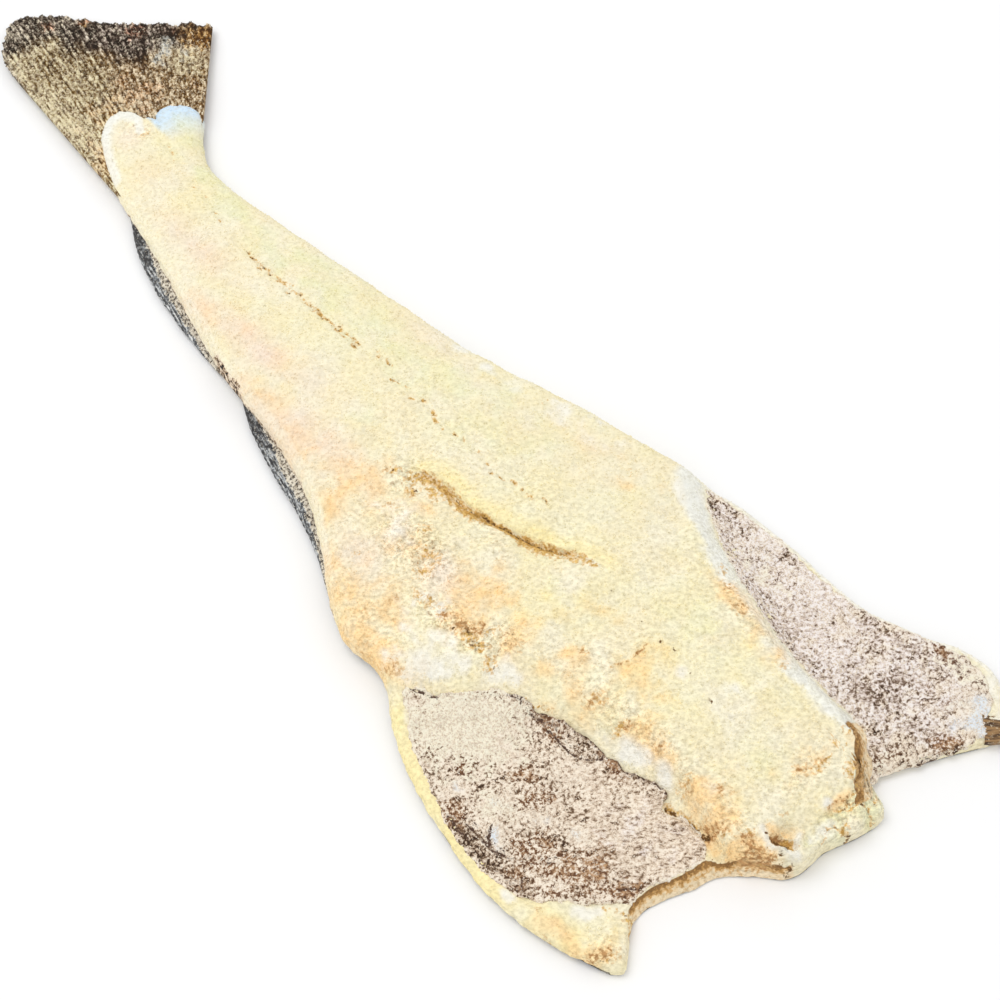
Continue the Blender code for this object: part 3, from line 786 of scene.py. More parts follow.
def flesh_material():
    """Salted flesh: tinted areas with brown threads, white salt, cut faces, skin, staining and painted shade
    on them, and fine specks of painted shade and highlight on the grain.
    """
    paint = Paint("flesh", roughness=0.75, specular=0.2)
    mottle, patch = paint.noise(8, 3), paint.noise(20, 1)
    grain, fleck = paint.noise(2.2, 3), paint.noise(1.7, 2)
    crumb = paint.noise(1.9, 2, stretch=1.25, heading=STREAK_TURN)
    colour = torn_threads(paint, flesh_tints(paint, mottle, patch), mottle, grain, fleck)
    colour = paint.mix(paint.patchy("white", mottle, 0.35, 0.6, 1, 0.8), colour, SALT_WHITE)
    colour = paint.mix(paint.patchy("blue", crumb, 0.35, 0.6, 0.8, 1), colour, SALT_BLUE)
    colour = rind_flecks(paint, cut_wall(paint, colour, grain), grain)
    colour = stains(paint, colour, grain, fleck)
    # Painted shade and highlight of the grain, partly also its own mottle, as strong as the relief mask says.
    shade = paint.mix(paint.between(crumb, 0.25, 0.7), PAINTED_GRAIN_SHADE, PAINTED_GRAIN_HIGHLIGHT)
    paint.colour(paint.mix(paint.mask("relief"), colour, shade, "MULTIPLY"))
    paint.bump((mottle, 1.2), (crumb, 0.6), (grain, 0.3))
    return paint.material


def skin_material():
    """The salted skin underneath: olive grey with brown spots, paler to the edges."""
    paint = Paint("skin", roughness=0.5, specular=0.4)
    scales, salt = paint.cells(1.9), paint.noise(1.4, 2)
    blotch = paint.between(paint.noise(11, 3), 0.44, 0.6)
    colour = paint.mix(blotch, (0.27, 0.235, 0.16), (0.115, 0.09, 0.055))
    colour = paint.mix(paint.mask("pale"), colour, (0.56, 0.52, 0.42))
    colour = paint.mix(paint.mask("line"), colour, (0.52, 0.50, 0.43))
    colour = paint.mix(paint.mask("fin"), colour, (0.09, 0.075, 0.055))
    colour = paint.mix(paint.between(salt, 0.57, 0.68, 0, 0.65), colour, (0.72, 0.70, 0.64))
    paint.colour(paint.mix(paint.between(scales, 0.25, 0.6, 0, 0.35), colour, (0.10, 0.08, 0.05)))
    paint.bump((scales, -0.35), (salt, 0.3))
    return paint.material


def lining_material():
    """The belly lining: a brown membrane under a crust of salt, streaked or cooler in parts, with its folds
    and lifted edge painted dark, partly as the bare membrane and partly as painted shade.
    """
    paint = Paint("belly_lining", roughness=0.65, specular=0.18)
    lilac, grain = paint.mask("lilac"), paint.noise(1.7, 3)
    streak = paint.noise(1.5, 3, stretch=1.9, heading=STREAK_TURN)
    fine = paint.mix(paint.times(lilac, 0.75), grain, streak)
    fine_move = paint.times(paint.between(fine, 0.3, 0.7, -1, 1), paint.between(lilac, 0, 1, 0.5, 0.42))
    value = paint.math("ADD", paint.moved(paint.mask("crust"), paint.noise(5, 3), 0.11), fine_move)
    colour = paint.tones(value, *LINING_TONES)
    colour = paint.mix(paint.mask("cool"), colour, (0.985, 1.03, 1.18), "MULTIPLY")
    colour = paint.mix(paint.patchy("cream", value, 0.5, 0.75), colour, (0.925, 0.865, 0.70))
    rust = paint.mix(paint.between(grain, 0.36, 0.6), (0.13, 0.055, 0.026), (0.60, 0.36, 0.19))
    colour = paint.mix(paint.patchy("warm", value, 0.35, 0.8, 0.9, 0), colour, rust)
    colour = paint.mix(paint.patchy("blue", grain, 0.35, 0.6, 0.95, 0.7), colour, (0.76, 0.83, 0.90))
    # Folds and the lifted edge go near black: partly the bare membrane, partly painted shade in the creases
    # and at the edge.
    fold = paint.speckled(paint.mask("fold"), grain, 0.45, 0.45, 0.85)
    paint.colour(paint.mix(fold, colour, (0.095, 0.052, 0.034)))
    paint.bump((fine, 1.1), (paint.noise(0.9, 2), 0.25))
    return paint.material


def fin_material():
    """The tail fin: brown rays crusted with salt, sooty and redder towards the trailing edge."""
    paint = Paint("tail_fin", roughness=0.6, specular=0.12)
    grain, streak, dashes = paint.noise(2.0, 3), paint.ray_noise(2.4, 34, 3), paint.ray_noise(1.7, 6, 2)
    crust = paint.moved(paint.mask("crust"), streak, 0.16)
    value = paint.moved(crust, paint.mix(0.5, grain, dashes), 0.66)
    golden, sooty = paint.tones(value, *GOLDEN_TONES), paint.tones(value, *SOOTY_TONES)
    colour = paint.mix(paint.mask("tip"), golden, sooty)
    colour = paint.mix(paint.mask("rust"), colour, (1.09, 0.955, 0.86), "MULTIPLY")
    colour = paint.mix(paint.times(paint.mask("red"), 0.7), colour, (1.35, 0.85, 0.66), "MULTIPLY")
    colour = paint.mix(paint.mask("gold"), colour, (1.2, 0.98, 0.6), "MULTIPLY")
    colour = paint.mix(paint.mask("olive"), colour, (0.97, 1.03, 0.97), "MULTIPLY")
    colour = paint.mix(paint.mask("grey"), colour, paint.tones(value, *GREY_TONES))
    colour = paint.mix(paint.times(paint.mask("furrow"), 0.7), colour, (0.022, 0.013, 0.008))
    # Only the salt on the fin has a tone, so this lightens the crystals and nothing else.
    paint.colour(paint.mix(paint.patchy("tone", value, 0.2, 0.6, 0.25, 0.85), colour, (0.95, 0.85, 0.65)))
    paint.bump((grain, 0.9))
    return paint.material


def anal_fin_material():
    """The anal fins: charcoal with silver streaks, and a speckled strip of skin at their root."""
    paint = Paint("anal_fin", roughness=0.45, specular=0.4)
    grain = paint.noise(1.6, 3)
    streak = paint.mix(0.35, paint.ray_noise(7, 0.9, 3), grain)
    colour = paint.tones(streak, *CHARCOAL_TONES)
    colour = paint.mix(paint.patchy("black", grain, 0.42, 0.6, 1, 0.55), colour, (0.02, 0.018, 0.018))
    root = paint.speckled(paint.mask("root"), grain, 0.25, 0.35, 0.65)
    paint.colour(paint.mix(root, colour, paint.tones(grain, *FIN_ROOT_TONES)))
    paint.bump((grain, 0.5), (streak, 0.3))
    return paint.material


def pectoral_material():
    """The pectoral stub: dark brown rays with salt between them."""
    paint = Paint("pectoral_stub", roughness=0.5)
    grain, streak = paint.noise(1.5, 3), paint.ray_noise(1.6, 12, 2)
    colour = paint.mix(paint.between(streak, 0.4, 0.6), (0.06, 0.03, 0.015), (0.36, 0.21, 0.09))
    paint.colour(paint.mix(paint.between(grain, 0.56, 0.68, 0, 0.7), colour, (0.72, 0.60, 0.42)))
    paint.bump((grain, 0.6))
    return paint.material


def salt_material(name, light, dark):
    """Grains of salt, each a little different in tone."""
    paint = Paint(name, roughness=0.38, specular=0.5)
    paint.colour(paint.mix(paint.mask("tone"), dark, light))
    paint.bump((paint.noise(0.5, 2), 0.25))
    return paint.material


# Areas of the flesh.

WHITE_AREAS = [
    (-84, -128, 17, 13, 20, 0.85), (-76, -142, 20, 9, -35, 0.9), (-47, -66, 12, 15, 0, 0.55),
    (-66, -112, 12, 12, 0, 0.6), (-42, -216, 3, 6, 8, 0.6), (-38, -233, 4.5, 9, 10, 1.0),
    (-35, -252, 5, 7, 0, 0.7), (-60, -162, 10, 7, -40, 0.8), (78, -148, 8, 14, -35, 0.9),
    (-29, -294, 7, 5, 0, 0.4), (12, -245, 12, 14, 0, 0.35), (45, -10, 8, 50, 12, 0.3),
    (6, -225, 7, 10, 0, 0.4), (-104, -278, 7, 4, -40, 1.0), (62, -80, 12, 30, 12, 0.35),
    (4, -321, 7, 5, 0, 0.8), (14, -312, 3, 2, 0, 1.0), (-12, -275, 14, 12, 0, 0.3),
    (118, -300, 9, 26, 8, 0.9), (108, -240, 7, 40, 0, 0.9), (102, -175, 8, 30, 8, 0.8),
    (108, -332, 12, 7, 0, 0.7), (-128, -248, 3, 5, 0, 0.8),
]
PEACH_AREAS = [
    (-60, 15, 15, 50, 8, 0.75), (-66, -35, 24, 36, 8, 0.42), (-92, -82, 20, 34, 15, 0.9),
    (-98, -112, 12, 24, 10, 1.2), (-50, -60, 22, 26, 0, 0.4), (-46, -128, 20, 24, 0, 0.65),
    (-46, -153, 16, 14, -25, 0.5), (-38, -190, 12, 22, 10, 0.6), (-27, -235, 10, 18, 0, 0.6),
    (-24, -272, 13, 14, 0, 0.55), (-14, -195, 20, 34, 0, 0.35), (54, -205, 7, 16, 0, 0.75),
    (48, -240, 7, 16, 0, 0.55), (58, -90, 10, 30, 12, 0.2), (-44, 100, 9, 60, 10, 0.32),
    (18, -290, 20, 9, 0, 0.5), (-123, -272, 5, 14, 25, 0.7), (-114, -294, 12, 7, -30, 0.9),
    (60, -130, 10, 16, 20, 0.3), (-30, -290, 9, 10, 0, 0.9), (-31, -304, 9, 8, -45, 1.5),
    (-24, -310, 7, 7, -45, 1.3), (-12.5, -308.5, 8, 3, -41, 1.1), (22, -314, 9, 2.5, 0, 0.8),
    (46, -300, 5, 8, 30, 0.6), (-39, -294, 6, 8, 0, 1.2), (-35, -300, 8, 6, -45, 1.2),
    (-45, -30, 16, 24, 0, 0.8), (-31, -192, 13, 20, 0, 0.6), (-41, -205, 8, 14, 10, 0.5),
]
LEMON_AREAS = [
    (-123, -272, 8, 22, 25, 0.8), (-112, -292, 14, 9, -30, 0.8), (-30, -150, 26, 16, -25, 0.3),
    (-8, -210, 22, 40, 0, 0.25), (-100, -128, 8, 12, 20, 0.5), (-18, -280, 14, 12, 0, 0.3),
    (38, -240, 12, 40, 0, 0.25),
]
PINK_AREAS = [
    (-38, 70, 10, 46, 10, 0.8), (-50, 10, 12, 40, 10, 0.6), (-56, -30, 14, 26, 10, 0.35),
    (-72, -66, 12, 18, 0, 0.5), (-22, 135, 9, 30, 0, 0.65), (-52, -104, 14, 12, 0, 0.5),
    (30, -60, 18, 40, 0, 0.15), (-10, 195, 10, 22, 0, 0.25), (-6, 222, 9, 9, 0, 0.4),
    (36, 10, 8, 50, 10, 0.2),
]
GREEN_AREAS = [
    (16, 60, 14, 70, 6, 0.75), (10, 160, 9, 40, 0, 0.9), (26, -30, 22, 60, 10, 0.5),
    (22, 205, 8, 18, 0, 0.9), (-12, -190, 14, 60, 0, 0.3), (10, -285, 16, 14, 0, 0.6),
    (27, -322, 13, 9, 0, 1.0), (30, -200, 16, 50, 0, 0.25), (8, -322, 14, 7, 0, 0.7),
    (-28, -10, 12, 26, 0, 0.3),
]
TORN_AREAS = [
    (-50, -84, 13, 26, 0, 1.0), (-64, -128, 8, 22, 8, 1.0), (-52, -150, 12, 9, -30, 1.0),
    (-30, -50, 10, 8, 0, 0.7), (-90, -100, 14, 26, 10, 0.4), (-30, -225, 9, 48, 6, 0.6),
    (52, -218, 6, 26, 0, 0.55), (16, -294, 20, 8, 0, 0.5), (-28, -288, 9, 14, 0, 0.6),
    (-112, -296, 8, 6, 0, 0.7), (-24, -190, 14, 12, 0, 0.35), (20, -320, 20, 7, 0, 0.45),
    (-15, -100, 6, 30, -15, 0.4), (3, 226, 8, 10, 0, 0.6), (-29, -307, 9, 6, -45, 0.9),
]
STAINS = [
    (-31, -43, 5, 2.5, -30, 0.9), (-23, -54, 4.5, 3, -60, 1.0), (-31, -58, 4.5, 3, -60, 0.85),
    (-24, -69, 3.5, 2.6, 0, 0.75), (-44, -58, 6, 2, -40, 0.6), (-40, -80, 7, 5, 0, 0.5),
    (-47, -92, 5, 9, 10, 0.7), (-55, -97, 8, 5, 0, 0.6), (-65, -108, 4, 8, 0, 0.6),
    (-75, -99, 5, 3, 0, 0.45), (-62, -112, 4, 5, 0, 0.65), (-62, -122, 4, 6, 0, 0.75),
    (-60.5, -131, 5, 6, 0, 0.85), (-59.5, -138, 6, 6, 20, 0.9), (-54, -140, 9, 6, -30, 0.7),
    (-59.5, -146, 5, 5, 0, 0.8), (-61, -155, 4, 5, -40, 0.75), (-46, -158, 8, 4, -40, 0.5),
    (-24, -181, 5, 3, -20, 0.6), (-35, -203, 7, 4, -30, 0.75), (-33, -222, 7, 3, -20, 0.85),
    (-28, -241, 6, 3, -20, 0.65), (-29, -262, 6, 4, -30, 0.6), (55, -199, 4, 4, 0, 0.75),
    (51, -212, 5, 5, 0, 0.7), (47, -246, 4, 6, 0, 0.5), (60, -190, 4, 5, 0, 0.5),
    (-102, -108, 5, 8, 0, 0.45), (-98, -126, 6, 7, 40, 0.55), (-32, -266, 5, 3, 0, 0.5),
    (-20, -277, 7, 4, -30, 0.55), (-34, -288, 4, 9, 20, 0.8), (-28, -302, 6, 7, -40, 0.75),
    (37, -293, 2.5, 2, 0, 0.6), (22, -296, 8, 4, -10, 0.7), (15, -292, 5, 3, -40, 0.6),
    (-117, -295, 5, 3, -40, 0.85), (-110.5, -299, 6, 4, -30, 1.0), (-92, -293, 2.5, 6, 10, 0.95),
    (34, -307, 7, 3.5, 38, 0.9), (-121, -262, 2, 3, 0, 0.5), (-127, -276, 3, 6, 20, 0.5),
    (-29, -306.5, 7, 4, -45, 0.85), (-33, -307.6, 5, 3, -45, 0.85), (-27, -311.2, 7, 4, -45, 0.9),
    (-13, -310.5, 6, 1.8, -41, 0.6), (-74, -66, 5, 3, -40, 0.45), (-86, -64, 5, 3, -40, 0.4),
    (-88, -96, 6, 4, -40, 0.45), (4, 222, 5, 6, 0, 0.6), (6, 231, 3, 3, 0, 0.6),
    (-126, -230, 2, 4, 0, 0.4), (-127, -212, 2, 5, 0, 0.4), (-121, -287, 5, 3, -40, 0.5),
    (46.5, -293, 3, 5, 20, 0.6), (-5, -303, 5, 3, -20, 0.4), (62, -120, 3, 4, 0, 0.45),
    (56, -60, 3, 4, 0, 0.4),
]
DARK_SPOTS = [
    (-31, -43, 1.6, 1.1, 0, 0.8), (-22, -55, 2, 1.2, -60, 0.7), (-29, -59, 2, 1.3, -60, 0.9),
    (-24, -70, 1.3, 1.2, 0, 0.6), (-48, -93, 1.2, 3, 0, 0.6), (-64, -131, 1.2, 3, 0, 0.7),
    (-61, -144, 2.2, 2.8, 20, 0.8), (-60, -158, 2.2, 1.4, -40, 0.9), (8, -201, 1.3, 1.6, 20, 0.8),
    (11, -208, 1.0, 1.2, 0, 0.8), (8, -222, 1, 1, 0, 0.7), (6, -240, 1.1, 1.2, 0, 0.8),
    (8, -179, 1, 1, 0, 0.8), (8, -188, 1, 1, 0, 0.6), (8, -166, 1.2, 1, 0, 0.6),
    (19.2, -318.3, 1.2, 1, 0, 1.0), (27.8, -322.4, 3.2, 0.9, -30, 0.7),
    (6.4, -320.1, 1.2, 0.9, 0, 0.7), (13.1, -328.8, 2, 1.4, 0, 0.9),
    # The next two spots are painted shade in the crevices under the flake at the neck.
    (-20, -316.8, 2.4, 1.2, -40, 1.1), (-19.1, -322.7, 2.6, 1.1, -10, 1.0),
    (-59, -137, 3, 3, 0, 0.7), (-62, -123, 1.6, 2.6, 0, 0.6), (-45, -152, 2.4, 1.2, -40, 0.5),
    # The spots at (45, -306.5) and (36.5, -310.5) are painted shade under the lip of the block's front
    # corner.
    (-114, -300, 3, 1, -30, 0.6), (45, -306.5, 2.2, 3.2, 30, 0.6), (36.5, -310.5, 3, 1.4, 40, 0.6),
    (-91.5, -289, 1, 3, 20, 0.6),
]
CREASES = [  # fine brown lines, as points (x, y)
    [(38.4, -289.6), (37, -293.8), (40.3, -297.9)],
    [(14, -291.2), (18, -297.3), (23.7, -298.1), (30.9, -296.1)],
    [(-97.5, -280.5), (-93.6, -284.6), (-91.2, -289.7), (-92.7, -295.3), (-97, -299)],
    [(-20, -196), (-9, -199), (2, -198)],
    [(13.1, -313.9), (15.6, -317.3), (19.2, -318.3), (21, -320.8), (25.6, -321.1), (29.1, -323)],
    [(10.4, -322.7), (11.5, -325.6), (15.7, -323.9)],
    [(13.1, -329), (14.5, -326), (15.7, -323.9)],
    # This line just under the lip of the block is painted shade.
    [(31, -316.3), (28, -316.8), (24.4, -315.8), (20.3, -314.6), (16.2, -313.5), (11.9, -313.9)],
    [(-59.6, -176.8), (-57.7, -182.9), (-54.2, -187.1), (-51.7, -191.2)],
    [(-34.3, -305.6), (-31, -308.9), (-27.8, -312.3), (-23, -316.5)],
]
# How the crack looks along it, as (y, half width of ochre, half width of its dark core, strength). The dark
# core is painted shade in the crack's depth.
CRACK_LOOK = [
    (-156, 0.5, 0.02, 0.6), (-150, 1.3, 0.05, 0.7), (-139, 2.6, 0.05, 0.72),
    (-132, 3.0, 0.25, 0.75), (-123, 2.8, 0.5, 0.95), (-116, 2.4, 0.9, 1.05), (-110, 1.2, 0.55, 1.1),
    (-102, 1.1, 0.5, 1.1), (-95, 1.9, 0.6, 1.05), (-90, 2.8, 0.35, 1.0), (-81, 3.4, 0.2, 0.9),
    (-75, 3.8, 0.35, 0.72), (-62, 3.6, 0.05, 0.7), (-54, 3.4, 0.3, 0.72), (-48, 2.4, 0.1, 0.66),
]
# Bands of white salt beside the right lining, as points (x, y).
WHITE_BANDS = [
    [(84, -138), (74, -156), (66, -176), (61, -192), (60, -198)],
    [(60, -196), (57, -220), (54.5, -240)],
    [(54, -240), (50, -256), (50, -272), (53, -288)],
]
# Salt on the two lobes where the flesh ends on the tail fin, as points (x, y).
LOBE_RIM = [
    (-27, 206), (-24, 216), (-20.5, 228), (-15.5, 238), (-9, 244.3), (-1.5, 246.8), (4.3, 245),
    (8.5, 238),
]
LOBE_WEDGE = [(8, 238), (6, 230), (2.5, 224)]
RIGHT_LOBE_RIM = [(16, 229), (24.5, 232.3), (30, 229.5), (35, 224.5)]
# Pits along the line of the backbone, as (y, strength).
GROOVE_PITS = (
    [(y, 0.8) for y in (204, 199, 194, 188, 170, 158, 154, 149, 146, 141, 136, 130, 122)]
    + [(y, 1.0) for y in range(114, 24, -3)]
    + [(y, 0.95) for y in range(20, -112, -6)]
)
# Loose strips of flesh round the hole at the neck, as points (x, y).
NECK_FLAKES = [
    [(-18.6, -301.7), (-19.9, -305.8), (-21.6, -309.6), (-21.9, -311.9), (-19.4, -313.4),
     (-17.6, -316.9), (-16.8, -320.1), (-14.3, -322.2)],
    [(-6.1, -314.6), (-9.9, -316.6), (-13, -319.1), (-14.3, -322.5)],
    [(14.5, -310.8), (12.5, -312.3)],
]
HOLE = ((-15.2, -313.4), (7.4, 3.8), -55)  # middle, radii and turn
# Dark edges of the hole, painted shade under its rim.
HOLE_EDGES = [
    [(-19.6, -304.8), (-18.4, -308.4), (-16.6, -311.6), (-15.4, -314), (-14.2, -317), (-13.6, -319)],
]
# Dark flecks of skin on the left side of the body, as (y, strength).
RIND_LEVEL = [
    (-95, 0), (-78, 0.5), (-66, 0.6), (40, 0.6), (52, 0.8), (70, 0.8), (80, 0.6), (184, 0.7),
    (205, 0.45), (215, 0),
]
SMOOTH_AREAS = [(55, -80, 22, 60, 10, 0.8), (-8, -95, 9, 45, -15, 0.8)]
TORN_LAYERS = ((0.9, 5.5, 25), (0.8, 8, 27))  # (height, cell, seed) of the torn flakes and their folds
LUMP_CELL, LUMP_SEED = 5.6, 43  # of the lumps under the lip of the neck
WALL_SHARES = (0.12, 0.3, 0.5, 0.7, 0.9, 1)  # levels down the side of the body, as shares of its height


def flesh_relief(x, y, in_lining, near_edge):
    """Grain, torn flakes and streaks on the flesh, in millimetres."""
    calm = ramp(np.abs(x - (crack(y) + 14)), 4, 18) * 0.65 + 0.35
    calm = np.where((y < -45) & (y > -160), calm, 1)
    height = 0.36 * rough(x, y, 7.5, 21) * calm + 0.24 * (packed_grains(x, y, 3.5, 31) - 0.4) * calm
    (flake, *flake_noise), (curl, *curl_noise) = TORN_LAYERS
    torn = flake * rough(x, y, *flake_noise) + curl * np.abs(rough(x, y, *curl_noise))
    height = height + spots(x, y, TORN_AREAS) * torn
    turn = math.radians(STREAK_TURN)
    run, across = x * math.cos(turn) + y * math.sin(turn), y * math.cos(turn) - x * math.sin(turn)
    streaks = 0.14 + 0.34 * spot(x, y, (-88, -85), (26, 52), 15)
    height = height + streaks * noise(run / 5, across, 2.4, 41)
    return height * (1 - 0.75 * in_lining) * (0.35 + 0.65 * ramp(near_edge, 0, 5)) - 0.35 * in_lining


def neck_relief(x, y, near_edge):
    """The lip of the thick block, the lumps under it, the hole and the ragged flakes round it."""
    wander = 0.6 * noise(x, y, 3, 45)
    under = ramp(neck_lip(x) + wander - y, -0.3, 1.3)
    height = -2.0 * under * along(x, (-8, -2, 34, 40))
    lumpy = under * along(x, (-12, -4, 40, 44)) * (0.4 + 0.6 * ramp(near_edge, 0, 2))
    lump = 2.8 * (packed_grains(x, y, LUMP_CELL, LUMP_SEED) - 0.35) + 0.8 * rough(x, y, 2.6, 47)
    height = height + lumpy * lump
    height = height - 4.6 * ramp(spot(x + wander, y - 0.5 * wander, *HOLE), 0.3, 0.62)
    height = height - 2.2 * spot(x, y, (-20, -317), (3, 1.8), -40)
    flakes = strokes(x + 0.5 * wander, y - 0.5 * wander, NECK_FLAKES, 1.7)
    return height + 2.0 * flakes * (1 + 0.5 * noise(x, y, 2.2, 48))


def groove_pits(x, y):
    """Small pits along the line of the backbone, each up to about 1 deep."""
    draw = np.random.default_rng(52)
    total = np.zeros(x.shape)
    for at, strength in GROOVE_PITS:
        py = at + draw.uniform(-1.8, 1.8)
        px = backbone(py) + draw.normal() * (1.2 if at > 24 else 2.4)
        length, width = draw.uniform(1.1, 3.0), draw.uniform(0.8, 1.5)
        depth = strength * draw.uniform(0.25 if at > 116 else 0.8, 1.1)
        total = np.maximum(total, depth * spot(x, y, (px, py), (width, length), draw.uniform(-25, 25)))
    return total


def crack_look(x, y, fine):
    """The open crack: its ochre band of torn flesh, its dark core of painted shade, where it lies along the
    fish, and its pale bank, painted as light on the crack's higher lip.
    """
    look_y, ochre_width, core_width, strength = np.array(CRACK_LOOK).T
    line = [(a, b) for b, a in CRACK if -156 < b < -40]
    ragged = noise(x, y, 3, 67) + 0.6 * noise(x, y, 6, 69)
    away = from_line(x + 0.7 * fine, y + 0.7 * ragged, line)
    torn_side = np.where(x < crack(y), 0.55, 1.6)
    ochre_width = np.interp(y, look_y, ochre_width) * (1 + 0.5 * noise(x, y, 5, 70))
    ochre = 1 - ramp(away * torn_side / ochre_width, 0.1, 1.7)
    ochre = ochre * np.interp(y, look_y, strength)
    core = 1 - ramp(away / np.interp(y, look_y, core_width), 0.4, 1.3)
    inside = along(y, (-160, -150, -52, -46))
    return ochre, core, inside, inside * along(x - crack(y), (0.5, 2, 6, 14))


def cut_look(x, y, wall, fine):
    """The cut neck, the cut side of the thick block, and the share of their height at each point."""
    to_neck = y - neck_end(x)
    width = neck_cut_width(x) * (1 - 0.45 * ramp(x, -47, -40))
    near_cut = 1 - ramp(to_neck + 0.4 * fine, width - 0.6, width + 0.9)
    cut = along(x, NECK_CUT) * np.maximum(near_cut, (wall > 0) * (to_neck < 12))
    past = right_of(right_shoulder, x, y)
    side = ramp(past + 0.6 * fine, -5.5, -4) * (1 - ramp(past + 0.8 * fine, 4, 7))
    side = side * along(y, (-324, -319, -291, -285))
    up = np.where(side > 0.3, 1 - ramp(past + 0.6 * fine, -5.5, 6), np.clip(to_neck / width, 0, 1))
    return cut, side, up


def hole_look(x, y, fine):
    """The hole at the neck, its dark edge of painted shade, the flakes round it, the lip's underside and the
    crevices between the lumps there, painted as shade.
    """
    hole = ramp(spot(x + 0.3 * fine, y, *HOLE), 0.16, 0.5)
    edge = strokes(x + 0.3 * fine, y, HOLE_EDGES, 1.2)
    under = ramp(neck_lip(x) - y, -0.5, 1.5) * along(x, (-6, 2, 40, 44)) * (y - neck_end(x) > 0.5)
    crevice = under * ramp(0.4 - packed_grains(x, y, LUMP_CELL, LUMP_SEED) + 0.12 * fine, 0, 0.3)
    return hole, edge, strokes(x, y, NECK_FLAKES, 1.7), under, crevice


def lobe_look(x, y, coarse):
    """The white salt on the left lobe at the tail, and the blue salt on the right one."""
    left = 1 - ramp(from_line(x, y, LOBE_RIM) / (3.8 + 4.0 * ramp(y, 206, 236)) + 0.15 * coarse, 0.5, 1.2)
    left = np.maximum(left, 0.9 * (1 - ramp(from_line(x, y, LOBE_WEDGE), 1.4, 3.4)))
    right = (1 - ramp(from_line(x, y, RIGHT_LOBE_RIM) + 1.5 * coarse, 4, 28)) * ramp(x, 10, 13)
    return left, right


def rim_look(x, y, wall, fine, coarse):
    """The skin on the left side, a painted highlight on the rim of the back, and the pale rims of the left
    flap and the right flap.
    """
    to_left = x - left_edge(y)
    between_fins = along(y, (46, 56, 72, 82)) * (1 - ramp(to_left + 0.5 * fine, 0.8, 2.0))
    rind = np.maximum(ramp(wall + 0.15 * fine, 0.18, 0.48) * (to_left < 3), between_fins)
    rind = rind * np.interp(y, *np.array(RIND_LEVEL).T)
    # Painted highlight along the rim of the back.
    back = along(to_left, (-3, -1, 3, 6)) * along(y, (-80, -55, 195, 215))
    left = (1 - ramp(to_left + 1.2 * coarse, 6, 9)) * along(y, (-262, -245, -146, -132))
    right = (1 - ramp(right_edge(y) - x + 1.2 * coarse, 1.5, 4)) * along(y, (-335, -330, -150, -135))
    return rind, back, left, right


